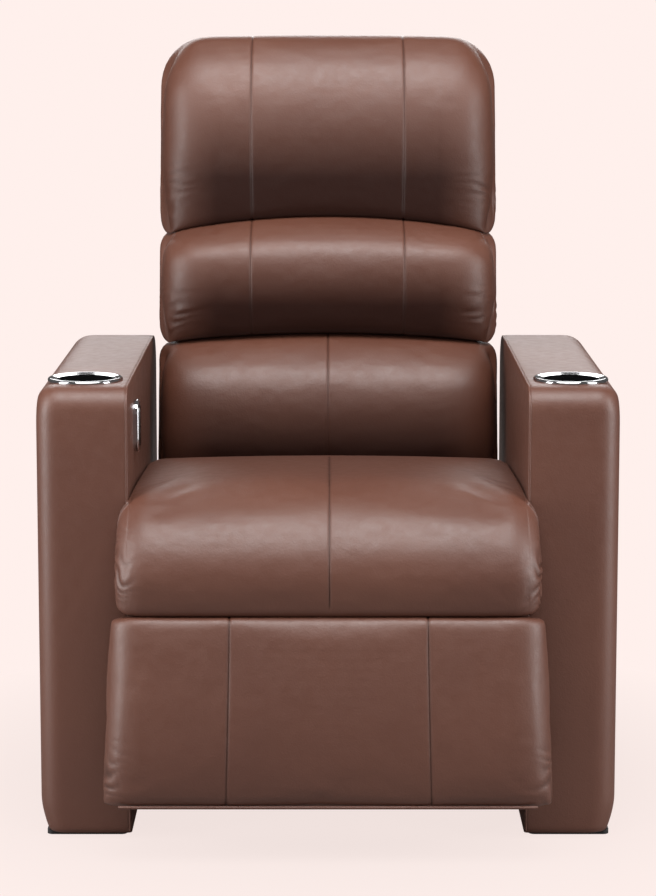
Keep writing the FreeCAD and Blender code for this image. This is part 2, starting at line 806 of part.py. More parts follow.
def long_link():
    link = bar(pivot_c, pivot_e, link_half_width, *lane_two)
    for point in (pivot_c, pivot_x, pivot_e):
        link = bored(link, point, pivot_radius + running_gap, *lane_two)
    return link


def rear_link():
    """Second crank, with the small drive arm beyond its hinge and pins at its two joints."""
    link = bar(pivot_a, pivot_d, link_half_width, *lane_one)
    arm = bar(pivot_a, drive_tip, link_half_width - 3, *lane_one)
    link = bored(link.fuse(arm), pivot_a, pivot_radius + running_gap, *lane_one)
    pins = [
        headed_pin(pivot_x, pivot_radius, lane_one[0], lane_two[0], head_radius),
        headed_pin(pivot_d, pivot_radius, lane_one[0], lane_two[0], head_radius),
        headed_pin(drive_tip, drive_pin_radius, lane_one[0], lane_three[0], drive_pin_radius + 2)]
    return link.fuse(pins).removeSplitter()


def lower_link():
    link = bar(pivot_d, pivot_f, link_half_width, *lane_two)
    for point in (pivot_d, pivot_f):
        link = bored(link, point, pivot_radius + running_gap, *lane_two)
    return link


def torque_tube():
    half = lane_one[0]
    outer = cross_pin(pivot_b, torque_tube_radius, -half, half)
    return outer.cut(cross_pin(pivot_b, torque_tube_radius - torque_tube_wall, -half - 1, half + 1))


def drive_link():
    """Link from the base to the drive arm; its upper hole is wide, because that pivot floats a little."""
    link = bar(drive_pivot, drive_link_tip, drive_half_width, *lane_three)
    link = bored(link, drive_pivot, drive_pin_radius + running_gap, *lane_three)
    return bored(link, drive_link_tip, drive_pin_radius + drive_pivot_play, *lane_three)


def control_link():
    """Link from the base to the back bracket; its upper hole is wide for the same reason."""
    link = bar(control_pivot, control_link_tip, link_half_width, *lane_two)
    link = bored(link, control_pivot, pivot_radius + running_gap, *lane_two)
    return bored(link, control_link_tip, pivot_radius + control_pivot_play, *lane_two)


# Footrest, drawn upright behind its front face and then leaned into place

def tapered_panel(y_from, y_to, top_z, bottom_z, inset, radius):
    """Panel that widens towards its foot."""
    top = pad_top_width / 2 - inset
    bottom = pad_bottom_width / 2 - inset
    return front_prism([(-bottom, bottom_z, radius), (bottom, bottom_z, radius), (top, top_z, radius), (-top, top_z, radius)], y_from, y_to)


def footrest_pad():
    pad = tapered_panel(0, pad_thickness, 0, -pad_height, 0, pad_round + 1)
    rims = [edge for edge in pad.Edges if all(abs(vertex.Y) < 1e-4 for vertex in edge.Vertexes)]
    return leaned(pad.makeFillet(pad_round, rims), pad_top, pad_lean)


def screw_places():
    """Screw centres on the left bracket flange, as x and local z."""
    x = lane_one[0] + bracket_flange * 0.62
    return [(x, -bracket_start - 14), (x, -(bracket_start + bracket_end) / 2), (x, -bracket_end + 14)]


def screw_at(x, z):
    head_y = pad_shell_depth + board_thickness + bracket_sheet
    shank = Part.makeCylinder(screw_radius, screw_bite + bracket_sheet, V(x, head_y - screw_bite - bracket_sheet, z), V(0, 1, 0))
    head = Part.makeCylinder(screw_head_radius, screw_head, V(x, head_y, z), V(0, 1, 0))
    return shank.fuse(head)


def screw_drills(margin):
    drills = []
    for x, z in screw_places():
        for side in (-1, 1):
            drills.append(Part.makeCylinder(
                screw_radius + margin, screw_bite + 20, V(side * x, pad_shell_depth + board_thickness - screw_bite - margin, z),
                V(0, 1, 0)))
    return drills


def footrest_board():
    board = tapered_panel(
        pad_shell_depth, pad_shell_depth + board_thickness, -board_margin, -pad_height + board_margin, board_margin, 8.0)
    return leaned(board.cut(screw_drills(fit_gap)), pad_top, pad_lean)


def footrest_bracket():
    """Angle on the board with an ear that reaches back to the two footrest pivots."""
    back = pad_shell_depth + board_thickness
    flange = block(
        lane_one[0], lane_one[0] + bracket_flange, back, back + bracket_sheet, -bracket_end, -bracket_start)
    flange = flange.cut(screw_drills(fit_gap))
    e_y, e_z = local_point(pivot_e, pad_top, pad_lean)
    f_y, f_z = local_point(pivot_f, pad_top, pad_lean)
    reach = link_half_width + 1
    ear = side_prism(
        [(back, -bracket_start, 0), (e_y + reach, e_z + reach, 11), (f_y + reach, f_z + reach, 10),
         (f_y + reach, f_z - reach, 11), (back, -bracket_end, 0)], *lane_one)
    bracket = leaned(flange.fuse(ear), pad_top, pad_lean)
    pins = [headed_pin(point, pivot_radius, lane_one[0], lane_two[0], head_radius) for point in (pivot_e, pivot_f)]
    return bracket.fuse(pins).removeSplitter()


def footrest_screws():
    screws = []
    for x, z in screw_places():
        for side in (-1, 1):
            screws.append(leaned(screw_at(side * x, z), pad_top, pad_lean))
    return group(screws)


# Back, drawn upright with y as depth behind the front face and then leaned into place

def back_roll(start, end, top_set_back, top_round):
    """One cushion of the back: flat behind, fullest low down, and curled under at its foot."""
    half_width = back_width / 2
    belly = start + roll_belly * (end - start)
    corners = [
        (roll_depth, start, 0), (roll_depth, end, 0), (top_set_back, end, top_round),
        (0, belly, roll_belly_round), (roll_foot_set_back, start, roll_round)]
    roll = side_prism(corners, -half_width, half_width)
    roll = roll.makeFillet(roll_end_round, end_edges(roll, half_width, roll_depth))
    return leaned(roll, back_foot, back_lean)


def head_roll():
    """Top cushion: a roll whose two upper corners are rounded."""
    half = back_width / 2
    low = middle_roll_end
    roll = back_roll(low, head_roll_end, head_set_back, head_round)
    corner = head_corner_round
    face = [(-half, low, 0), (half, low, 0), (half, head_roll_end, corner), (-half, head_roll_end, corner)]
    return roll.common(leaned(front_prism(face, 0, roll_depth), back_foot, back_lean))


def back_post():
    """Plywood side post of the back frame."""
    corners = [
        (spring_plane, post_start, 4), (spring_plane + post_depth, post_start, 12),
        (spring_plane + post_depth, post_end, 30), (spring_plane, post_end, 12)]
    return leaned(side_prism(corners, post_inner_x, post_outer_x), back_foot, back_lean)


def back_rail(start):
    half = post_inner_x - fit_gap
    rail = block(-half, half, back_rail_front, back_rail_front + back_rail_depth, start, start + back_rail_height)
    return leaned(rail, back_foot, back_lean)


def back_springs():
    start = post_start + back_rail_height / 4
    length = post_end - back_rail_height / 4 - start
    springs = []
    for place in spring_places:
        spring = zigzag(length, spring_width, spring_pitch, spring_wire)
        spring.rotate(V(0, 0, 0), V(1, 0, 0), 90)
        spring.translate(V(place * back_spring_span, back_rail_front, start))
        springs.append(leaned(spring, back_foot, back_lean))
    return group(springs)


def shell_form(inset, start):
    """Outer form of the rear cover, drawn in by an inset at its sides, rear and top."""
    half = shell_half - inset
    rear = shell_rear - inset
    top = shell_end - inset
    corner = shell_top_round - inset
    face = [(-half, start, 0), (half, start, 0), (half, top, corner), (-half, top, corner)]
    form = front_prism(face, shell_front - min(inset, 1), rear)
    rim = []
    for edge in form.Edges:
        at_rear = all(abs(vertex.Y - rear) < 1e-4 for vertex in edge.Vertexes)
        at_foot = all(abs(vertex.Z - start) < 1e-4 for vertex in edge.Vertexes)
        if at_rear and not at_foot:
            rim.append(edge)
    return form.makeFillet(shell_round - inset, rim)


def back_shell():
    """Upholstered rear cover: open in front and below, wrapped round the frame."""
    return leaned(shell_form(0, post_start).cut(shell_form(shell_wall, post_start - 1)), back_foot, back_lean)


def back_bracket():
    """Hinge plate on the post, with arms to the hinge and to the control link's pin."""
    lean_k = local_point(back_pivot, back_foot, back_lean)
    post_foot = (spring_plane + post_depth * 0.4, post_start + hinge_plate_inset + hinge_arm_half)
    plate_low = post_start + hinge_plate_inset
    plate_corners = rectangle(
        spring_plane + hinge_plate_inset, spring_plane + post_depth * 0.8, plate_low,
        plate_low + hinge_plate_length, 12.0)
    wing = side_prism(plate_corners, *lane_one)
    arm = bar(lean_k, post_foot, hinge_arm_half, *lane_one)
    upper = leaned(wing.fuse(arm), back_foot, back_lean)
    horn = bar(back_pivot, control_tip, link_half_width + 1, *lane_one)
    bracket = bored(upper.fuse(horn), back_pivot, back_pin_radius + running_gap, *lane_one)
    return bracket.fuse(headed_pin(control_tip, pivot_radius, lane_one[0], lane_two[0], head_radius)).removeSplitter()


def recliner():
    """Every piece by its node name."""
    left_right = {
        "slide_channel": slide_channel(),
        "cup_liner": cup_liner(),
        "cup_rim": cup_rim(),
        "seat_plate": seat_plate(),
        "front_link": front_link(),
        "long_link": long_link(),
        "rear_link": rear_link(),
        "lower_link": lower_link(),
        "drive_link": drive_link(),
        "control_link": control_link(),
        "footrest_bracket": footrest_bracket(),
        "back_post": back_post(),
        "back_bracket": back_bracket(),
    }
    nodes = {}
    for name, shape in left_right.items():
        nodes[name + "_left"] = shape
        nodes[name + "_right"] = mirrored(shape)
    nodes["arm_cover_left"] = arm_cover(False)
    nodes["arm_cover_right"] = mirrored(arm_cover(True))
    nodes["arm_frame_left"] = arm_frame(False)
    nodes["arm_frame_right"] = mirrored(arm_frame(True))
    nodes["arm_glides"] = group(arm_glides() + [mirrored(pad) for pad in arm_glides()])
    nodes["arm_bolts"] = group(arm_bolts() + [mirrored(bolt) for bolt in arm_bolts()])
    nodes["switch_bezel"] = mirrored(switch_bezel())
    nodes["switch_housing"] = mirrored(switch_housing())
    nodes["button_open"] = mirrored(switch_button(1))
    nodes["button_close"] = mirrored(switch_button(-1))
    nodes["front_cross_rail"] = cross_rail(front_rail_y)
    nodes["rear_cross_rail"] = cross_rail(rear_rail_y)
    nodes["drive_brackets"] = pair(drive_bracket())
    nodes["actuator_bracket"] = actuator_bracket()
    nodes["actuator_motor"] = actuator_motor()
    nodes["actuator_tube"] = actuator_tube()
    nodes["actuator_rod"] = actuator_rod()
    nodes["drive_cross_tube"] = drive_cross_tube()
    nodes["slide_shoes"] = group(slide_shoes() + [mirrored(shoe) for shoe in slide_shoes()])
    nodes["seat_rail_front"] = seat_cross_rail(seat_rail_front_y)
    nodes["seat_rail_rear"] = seat_cross_rail(seat_rail_rear_y)
    nodes["seat_springs"] = seat_springs()
    nodes["seat_cushion"] = seat_cushion()
    nodes["torque_tube"] = torque_tube()
    nodes["footrest_board"] = footrest_board()
    nodes["footrest_pad"] = footrest_pad()
    nodes["footrest_screws"] = footrest_screws()
    nodes["back_cushion_lower"] = back_roll(lower_roll_start, lower_roll_end - roll_gap, roll_set_back, roll_top_round)
    nodes["back_cushion_middle"] = back_roll(lower_roll_end, middle_roll_end - roll_gap, roll_set_back, roll_top_round)
    nodes["back_cushion_head"] = head_roll()
    nodes["back_rail_bottom"] = back_rail(post_start)
    nodes["back_rail_top"] = back_rail(post_end - back_rail_height)
    nodes["back_springs"] = back_springs()
    nodes["back_shell"] = back_shell()
    return nodes


def main():
    nodes = recliner()
    front_y = nodes["footrest_pad"].BoundBox.YMin
    rear_y = nodes["back_shell"].BoundBox.YMax
    centre_y = (front_y + rear_y) / 2
    os.makedirs("parts", exist_ok=True)
    for name, shape in nodes.items():
        shape.translate(V(0, -centre_y, 0))
        shape.exportStep("parts/" + name + ".step")
    print("pieces", len(nodes), "centre_y", round(centre_y, 3))


main()
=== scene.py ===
# %% [markdown]
# # A cinema recliner in brown leather
#
# This lesson dresses a packed mechanical model of a powered cinema recliner.
# The frame, links and cup holders come from that model and keep their places.
# Everything soft is made here: the arms, the three back cushions, the seat, the footrest and the rear cover.
#
# First comes the model itself, and a helper that gives the box of each of its parts.

# %% Load the imported model
import json
import math

import bmesh
import bpy
import numpy as np
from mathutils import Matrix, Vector, noise

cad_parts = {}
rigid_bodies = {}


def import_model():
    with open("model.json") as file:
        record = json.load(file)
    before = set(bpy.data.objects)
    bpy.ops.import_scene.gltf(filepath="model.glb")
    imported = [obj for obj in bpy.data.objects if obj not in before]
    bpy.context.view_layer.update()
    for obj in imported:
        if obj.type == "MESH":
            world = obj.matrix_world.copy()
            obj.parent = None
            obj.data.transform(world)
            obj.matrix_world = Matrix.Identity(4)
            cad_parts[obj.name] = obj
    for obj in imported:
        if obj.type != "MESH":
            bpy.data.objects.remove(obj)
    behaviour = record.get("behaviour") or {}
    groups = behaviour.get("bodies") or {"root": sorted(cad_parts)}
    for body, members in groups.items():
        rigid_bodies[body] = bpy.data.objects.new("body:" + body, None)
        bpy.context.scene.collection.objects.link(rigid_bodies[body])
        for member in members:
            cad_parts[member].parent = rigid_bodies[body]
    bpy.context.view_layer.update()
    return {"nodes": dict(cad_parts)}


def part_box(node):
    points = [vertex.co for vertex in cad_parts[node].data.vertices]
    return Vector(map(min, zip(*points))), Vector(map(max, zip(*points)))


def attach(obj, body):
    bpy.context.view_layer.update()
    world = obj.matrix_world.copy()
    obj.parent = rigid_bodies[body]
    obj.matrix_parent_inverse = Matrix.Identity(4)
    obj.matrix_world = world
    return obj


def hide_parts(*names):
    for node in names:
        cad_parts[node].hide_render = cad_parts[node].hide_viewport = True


for leftover in list(bpy.data.objects):
    bpy.data.objects.remove(leftover)
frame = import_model()
nodes = frame["nodes"]

# %% [markdown]
# ## Camera
#
# The camera stands 3.75 m in front of the arms, a little above the top of the back,
# and looks down by 8 degrees. A long lens keeps the arms nearly parallel, as they are in a product photograph.
# The small vertical shift puts the seat in the middle of the picture without tilting its upright lines.

# %% Camera
arm_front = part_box("arm_cover_left")[0].y
camera_away, camera_height = 3.7542, 1.1777
look_down = 7.94
camera_data = bpy.data.cameras.new("camera")
camera = bpy.data.objects.new("camera", camera_data)
bpy.context.scene.collection.objects.link(camera)
camera.location = (0.0, arm_front - camera_away, camera_height)
camera.rotation_euler = (math.radians(90 - look_down), 0, 0)
camera_data.sensor_width = 36.0
camera_data.lens = 110.92
camera_data.shift_y = -0.0781
bpy.context.scene.camera = camera
print("camera at", [round(v, 3) for v in camera.location])

# %% [markdown]
# ## Node helpers
#
# A material or a Geometry Nodes tree is a graph. One helper adds a node, sets its values and joins its inputs,
# so that a whole finish reads from top to bottom like a recipe.

# %% Node helpers
def add_node(tree, kind, inputs=None, **settings):
    """Add a node. An input is a plain value, or an output socket to join it to."""
    made = tree.nodes.new(kind)
    for name, value in settings.items():
        setattr(made, name, value)
    for name, value in (inputs or {}).items():
        socket = made.inputs[name]
        if isinstance(value, bpy.types.NodeSocket):
            tree.links.new(value, socket)
        else:
            socket.default_value = value
    return made


def new_material(name):
    """An empty material, with its tree and the Object coordinates that its patterns read."""
    material = bpy.data.materials.new(name)
    material.use_nodes = True
    tree = material.node_tree
    tree.nodes.clear()
    place = add_node(tree, "ShaderNodeTexCoord").outputs["Object"]
    return material, tree, place


def linear(red, green, blue):
    """Screen colour from 0 to 255, as the linear colour that a shader takes."""
    shares = [v / 255 for v in (red, green, blue)]
    return tuple(s / 12.92 if s <= 0.04045 else ((s + 0.055) / 1.055) ** 2.4 for s in shares) + (1.0,)


# %% [markdown]
# ## Floor, backdrop and light
#
# The photograph has a pale, faintly pink ground with a soft grey shadow under the seat.
# Near the seat the floor is partly diffuse, so that it takes the shadow,
# and further out it is plain background colour.
# Only camera rays see that colour, on the floor and in the world, so it adds no light to the seat.
# The world itself lights the seat weakly, so that the soft boxes do the shaping.

# %% Floor and world
background = linear(255, 240, 236)
shadow_near, shadow_far = 0.35, 0.85
floor_reach = 30.0


def floor_material():
    material, tree, place = new_material("pale_floor")
    distance = add_node(tree, "ShaderNodeVectorMath", {0: place}, operation="LENGTH").outputs["Value"]
    fade = add_node(tree, "ShaderNodeMapRange", {
        "Value": distance, "From Min": shadow_near, "From Max": shadow_far, "To Min": 0.86, "To Max": 1.0})
    lit = add_node(tree, "ShaderNodeBsdfDiffuse", {"Color": (0.26, 0.23, 0.22, 1.0), "Roughness": 0.0})
    plain = add_node(tree, "ShaderNodeEmission", {"Color": background, "Strength": 1.0})
    path = add_node(tree, "ShaderNodeLightPath")
    share = add_node(tree, "ShaderNodeMath", {
        0: fade.outputs["Result"], 1: path.outputs["Is Camera Ray"]}, operation="MULTIPLY")
    mix = add_node(tree, "ShaderNodeMixShader", {0: share.outputs[0], 1: lit.outputs[0], 2: plain.outputs[0]})
    add_node(tree, "ShaderNodeOutputMaterial", {"Surface": mix.outputs[0]})
    return material


def link_new(name, mesh):
    piece = bpy.data.objects.new(name, mesh)
    bpy.context.scene.collection.objects.link(piece)
    return piece


floor_mesh = bpy.data.meshes.new("floor")
floor_corners = [(x * floor_reach, y * floor_reach, 0) for x, y in ((-1, -1), (1, -1), (1, 1), (-1, 1))]
floor_mesh.from_pydata(floor_corners, [], [(0, 1, 2, 3)])
floor_mesh.materials.append(floor_material())
link_new("floor", floor_mesh)

world = bpy.data.worlds.new("studio")
bpy.context.scene.world = world
world.use_nodes = True
sky = world.node_tree
sky.nodes.clear()
path = add_node(sky, "ShaderNodeLightPath")
ambient = add_node(sky, "ShaderNodeBackground", {"Color": (1.0, 0.97, 0.95, 1.0), "Strength": 0.13})
shown = add_node(sky, "ShaderNodeBackground", {"Color": background, "Strength": 1.0})
pick = add_node(sky, "ShaderNodeMixShader", {
    0: path.outputs["Is Camera Ray"], 1: ambient.outputs[0], 2: shown.outputs[0]})
add_node(sky, "ShaderNodeOutputWorld", {"Surface": pick.outputs[0]})

# %% [markdown]
# A wide soft box almost overhead lights the crown of every roll and leaves its lower half dark.
# Two tall ones beside the seat draw the light bands along the rounded ends of the rolls
# and the outer edges of the arms. A weak one in front opens the shadows a little,
# and one behind gives the arms and the head cushion their sheen on top.

# %% Soft boxes
def soft_box(name, place, target, size, power):
    """A rectangular lamp that faces its target; places and sizes in metres, power in watts."""
    lamp = bpy.data.lights.new(name, "AREA")
    lamp.shape = "RECTANGLE"
    lamp.size, lamp.size_y = size
    lamp.energy = power
    lamp_object = bpy.data.objects.new(name, lamp)
    bpy.context.scene.collection.objects.link(lamp_object)
    lamp_object.location = place
    lamp_object.rotation_euler = (Vector(target) - Vector(place)).to_track_quat("-Z", "Y").to_euler()


soft_box("light_above", (0.0, -1.25, 2.9), (0.0, 0.05, 0.6), (2.4, 1.5), 112.0)
soft_box("light_left", (-1.9, -0.85, 1.0), (-0.2, 0.1, 0.6), (0.8, 1.8), 44.0)
soft_box("light_right", (1.9, -0.85, 1.0), (0.2, 0.1, 0.6), (0.8, 1.8), 38.0)
soft_box("light_front", (0.0, -4.4, 1.3), (0.0, 0.0, 0.5), (3.0, 1.6), 6.0)
soft_box("light_behind", (0.0, 2.4, 1.9), (0.0, 0.0, 0.7), (2.4, 1.0), 40.0)
bpy.context.scene.view_settings.view_transform = "Standard"

# %% [markdown]
# ## Leather
#
# Upholstery leather is a corrected hide: one brown with slow changes of tone, a fine pebble grain
# of about 2 mm, and a semi-gloss top coat. The grain is a Voronoi pattern read from Object coordinates,
# so it never stretches.
# Each soft mesh carries a value of painted shade. It is high in seams and folds and under the rolls, where
# shade falls, and there the leather colour is painted darker and its gloss is lowered.

# %% Leather
# Painted shade: the dark brown that seams, folds and the feet of the rolls are painted with.
painted_shade_brown = linear(34, 13, 7)
leather_mid = linear(80, 43, 29)
leather_light = linear(88, 50, 35)


def leather_finish(name):
    material, tree, place = new_material(name)
    tone = add_node(tree, "ShaderNodeTexNoise", {
        "Vector": place, "Scale": 4.0, "Detail": 3.0, "Roughness": 0.55})
    mottle = add_node(tree, "ShaderNodeTexNoise", {
        "Vector": place, "Scale": 70.0, "Detail": 4.0, "Roughness": 0.6})
    both = add_node(tree, "ShaderNodeMath", {
        0: mottle.outputs["Fac"], 1: 0.3, 2: tone.outputs["Fac"]}, operation="MULTIPLY_ADD")
    ramp = add_node(tree, "ShaderNodeValToRGB", {"Fac": both.outputs[0]})
    ramp.color_ramp.elements[0].position = 0.42
    ramp.color_ramp.elements[0].color = leather_mid
    ramp.color_ramp.elements[1].position = 0.88
    ramp.color_ramp.elements[1].color = leather_light
    # Painted shade: this value mixes the colour towards the dark brown and lowers the gloss.
    painted_shade = add_node(tree, "ShaderNodeAttribute", attribute_name="painted_shade")
    colour = add_node(tree, "ShaderNodeMix", {0: painted_shade.outputs["Fac"], 7: painted_shade_brown}, data_type="RGBA")
    tree.links.new(ramp.outputs["Color"], colour.inputs[6])
    sheen = add_node(tree, "ShaderNodeMapRange", {
        "Value": painted_shade.outputs["Fac"], "To Min": 0.62, "To Max": 0.16})
    grain = add_node(tree, "ShaderNodeTexVoronoi", {
        "Vector": place, "Scale": 430.0, "Randomness": 0.9}, feature="SMOOTH_F1")
    folds = add_node(tree, "ShaderNodeTexNoise", {
        "Vector": place, "Scale": 120.0, "Detail": 5.0, "Roughness": 0.6})
    fold_bump = add_node(tree, "ShaderNodeBump", {
        "Strength": 0.12, "Distance": 0.002, "Height": folds.outputs["Fac"]})
    grain_bump = add_node(tree, "ShaderNodeBump", {
        "Strength": 0.22, "Distance": 0.0006, "Height": grain.outputs["Distance"],
        "Normal": fold_bump.outputs["Normal"]})
    gloss = add_node(tree, "ShaderNodeMapRange", {
        "Value": mottle.outputs["Fac"], "From Min": 0.3, "From Max": 0.7, "To Min": 0.48, "To Max": 0.58})
    shader = add_node(tree, "ShaderNodeBsdfPrincipled", {
        "Base Color": colour.outputs[2], "Roughness": gloss.outputs["Result"],
        "Specular IOR Level": sheen.outputs["Result"],
        "Coat Weight": 0.15, "Coat Roughness": 0.46, "Normal": grain_bump.outputs["Normal"]})
    add_node(tree, "ShaderNodeOutputMaterial", {"Surface": shader.outputs[0]})
    return material


leather = leather_finish("brown_leather")

# %% [markdown]
# ## Lofted soft forms
#
# A cushion of this seat is a roll: the same side profile runs across its whole width, and its ends are rounded.
# So each one is lofted: closed loops of points, one loop per place across the width, joined by quads.
# The grid gives control that a remeshed blob lacks.
# A seam is a column of points, and can be pinned, sunk and stitched.

# %% Side profile
def even_points(closed, spacing):
    """Points at even steps along a closed line. Their number is even, so that a strip can close the loop."""
    lengths = np.concatenate([[0], np.cumsum(np.linalg.norm(np.diff(closed, axis=0), axis=1))])
    steps = max(12, 2 * round(lengths[-1] / spacing / 2))
    at = np.arange(steps) / steps * lengths[-1]
    return np.stack([np.interp(at, lengths, closed[:, k]) for k in (0, 1)], axis=1)


def rounded_loop(corners, spacing, corner_steps=13):
    """Evenly spaced points round a polygon of (a, b, radius) corners, in millimetres."""
    points = []
    count = len(corners)
    for index, (a, b, radius) in enumerate(corners):
        here = np.array([a, b], float)
        before = np.array(corners[index - 1][:2], float) - here
        after = np.array(corners[(index + 1) % count][:2], float) - here
        before /= np.linalg.norm(before)
        after /= np.linalg.norm(after)
        half = math.acos(max(-1, min(1, float(before @ after)))) / 2
        reach_out = radius / math.tan(half)
        middle = here + (before + after) / np.linalg.norm(before + after) * (radius / math.sin(half))
        start = here + before * reach_out
        end = here + after * reach_out
        angle_start = math.atan2(*(start - middle)[::-1])
        turn = (math.atan2(*(end - middle)[::-1]) - angle_start + math.pi) % (2 * math.pi) - math.pi
        for share in np.linspace(0, 1, corner_steps):
            angle = angle_start + turn * share
            points.append(middle + radius * np.array([math.cos(angle), math.sin(angle)]))
    return even_points(np.array(points + [points[0]]), spacing)


def soft_loop(corners, spacing, rounds=4):
    """Evenly spaced points on the smooth curve inside a polygon.
    Each round cuts a quarter off both ends of every side."""
    points = np.array(corners, float)
    for _ in range(rounds):
        after = np.roll(points, -1, axis=0)
        points = np.stack([0.75 * points + 0.25 * after, 0.25 * points + 0.75 * after], axis=1).reshape(-1, 2)
    return even_points(np.concatenate([points, points[:1]]), spacing)


def inset_loop(loop, amounts):
    """Draw a loop in from its (low a, high a, low b, high b) sides."""
    low, high = loop.min(0), loop.max(0)
    new_low = low + np.array([amounts[0], amounts[2]])
    new_high = high - np.array([amounts[1], amounts[3]])
    return new_low + (loop - low) / (high - low) * (new_high - new_low)


# %% [markdown]
# Columns lie close together at the rounded ends and at each seam, and further apart between them.

# %% Places across the width
MM = 0.001
column_step = 7.5
seam_steps = (-7.0, -3.0, -1.1, 0.0, 1.1, 3.0, 7.0)
seam_clear = 11


def columns_between(low, high, low_round, high_round, spacing, seams=()):
    """(x, low-end share, high-end share) of each column; a share goes from 0 to 1 round an end."""
    turns = np.linspace(0, math.pi / 2, 6)
    found = [(low + low_round * (1 - math.sin(t)), 1 - math.cos(t), 0.0) for t in turns[::-1]]
    inner_low, inner_high = low + low_round, high - high_round
    plain = np.linspace(inner_low, inner_high, max(2, round((inner_high - inner_low) / spacing)) + 1)[1:-1]
    near = [seam + step for seam in seams for step in seam_steps]
    plain = [x for x in plain if all(abs(x - seam) > seam_clear for seam in seams)]
    found += [(x, 0.0, 0.0) for x in sorted(plain + near)]
    found += [(high - high_round * (1 - math.sin(t)), 0.0, 1 - math.cos(t)) for t in turns]
    return found


def loft(name, loops, rings=(0.86, 0.68, 0.46, 0.22), crown=2.0):
    """Closed mesh from an array of loops [column, point, xyz] in millimetres, its two ends capped by rings.
    The last ring is closed by a strip of quads across it, because a pole with a hundred edges smooths badly."""
    columns, count = loops.shape[:2]
    layers = [loops]
    for end, outward in ((0, -1.0), (columns - 1, 1.0)):
        centre = loops[end].mean(0)
        capped = []
        for share in rings:
            ring = centre + (loops[end] - centre) * share
            ring[:, 0] += outward * crown * (1 - share ** 2)
            capped.append(ring)
        layers.append(np.array(capped))
    points = np.concatenate([layer.reshape(-1, 3) for layer in layers]) * MM
    starts = [j * count for j in range(columns)]
    low_rings = [starts[0]] + [(columns + k) * count for k in range(len(rings))]
    high_rings = [starts[-1]] + [(columns + len(rings) + k) * count for k in range(len(rings))]
    pairs = list(zip(starts, starts[1:])) + list(zip(low_rings[1:], low_rings))
    pairs += list(zip(high_rings, high_rings[1:]))
    faces = []
    for left, right in pairs:
        faces += [(left + i, left + (i + 1) % count, right + (i + 1) % count, right + i) for i in range(count)]
    for ring in (low_rings[-1], high_rings[-1]):
        faces += [(ring + i, ring + i + 1, ring + count - 2 - i, ring + count - 1 - i)
                  for i in range(count // 2 - 1)]
    mesh = bpy.data.meshes.new(name)
    mesh.from_pydata(points.tolist(), [], faces)
    outwards = bmesh.new()
    outwards.from_mesh(mesh)
    bmesh.ops.recalc_face_normals(outwards, faces=outwards.faces)
    outwards.to_mesh(mesh)
    outwards.free()
    mesh.polygons.foreach_set("use_smooth", [True] * len(mesh.polygons))
    # A value of painted shade on every point, raised later in seams, folds and under the rolls.
    mesh.attributes.new("painted_shade", "FLOAT", "POINT")
    mesh.materials.append(leather)
    piece = link_new(name, mesh)
    piece["count"] = count
    return piece


# %% Reading and writing points
def mesh_points(mesh):
    flat = np.empty(len(mesh.vertices) * 3)
    mesh.vertices.foreach_get("co", flat)
    return flat.reshape(-1, 3)


def read_points(piece):
    return mesh_points(piece.data)


def write_points(piece, points):
    piece.data.vertices.foreach_set("co", points.astype(np.float32).ravel())
    piece.data.update()


def read_normals(piece):
    flat = np.empty(len(piece.data.vertices) * 3, np.float32)
    piece.data.vertex_normals.foreach_get("vector", flat)
    return flat.reshape(-1, 3).astype(float)


def add_painted_shade(piece, values):
    """Raise the painted shade value of each point to at least the given one."""
    layer = piece.data.attributes["painted_shade"]
    old = np.empty(len(values), np.float32)
    layer.data.foreach_get("value", old)
    layer.data.foreach_set("value", np.maximum(old, values).astype(np.float32))


# %% [markdown]
# ## Filling the cushions
#
# Foam pushes the leather out and the seams hold it back. The cloth solver does that: pressure acts
# from inside, and pinned points stay where they are sewn or glued.
# No point may move further than a cap, so a cushion never grows out of its place.
# One subdivision smooths the result.

# %% Pressure from inside
foam_pressure = 2.5
fill_frames = 15


def fill_with_foam(piece, held, cap):
    """Blow the cover up between its held points, by at most cap millimetres.
    Held gives each point's grip from 0 to 1."""
    before = read_points(piece)
    group = piece.vertex_groups.new(name="held")
    for index, grip in enumerate(held):
        if grip > 0:
            group.add([index], float(grip), "REPLACE")
    cloth = piece.modifiers.new("cover", "CLOTH")
    settings = cloth.settings
    settings.quality = 5
    settings.mass = 0.4
    settings.tension_stiffness = 25.0
    settings.compression_stiffness = 25.0
    settings.shear_stiffness = 10.0
    settings.bending_stiffness = 1.5
    settings.tension_damping = 10.0
    settings.compression_damping = 10.0
    settings.bending_damping = 2.0
    settings.use_pressure = True
    settings.uniform_pressure_force = foam_pressure
    settings.vertex_group_mass = "held"
    settings.effector_weights.gravity = 0.0
    cloth.point_cache.frame_start, cloth.point_cache.frame_end = 1, fill_frames
    scene = bpy.context.scene
    for step in range(1, fill_frames + 1):
        scene.frame_set(step)
    blown = piece.evaluated_get(bpy.context.evaluated_depsgraph_get())
    moved = mesh_points(blown.to_mesh()) - before
    blown.to_mesh_clear()
    length = np.linalg.norm(moved, axis=1)
    allowed = cap * MM * np.tanh(length / (cap * MM)) / np.maximum(length, 1e-9)
    piece.modifiers.remove(cloth)
    piece.vertex_groups.remove(group)
    scene.frame_set(1)
    write_points(piece, before + moved * allowed[:, None])
    print(piece.name, "pushed out by up to", round(float(length.max() * 1000), 1), "mm before the cap")


def keep_result(piece, modifier):
    """Make what the modifier shows the piece's own plain mesh, and take the modifier off."""
    graph = bpy.context.evaluated_depsgraph_get()
    made = bpy.data.meshes.new_from_object(piece.evaluated_get(graph))
    piece.modifiers.remove(modifier)
    old = piece.data
    piece.data = made
    bpy.data.meshes.remove(old)
    made.name = piece.name


def smooth_once(piece):
    """Apply one level of subdivision."""
    modifier = piece.modifiers.new("smooth", "SUBSURF")
    modifier.levels = modifier.render_levels = 1
    keep_result(piece, modifier)


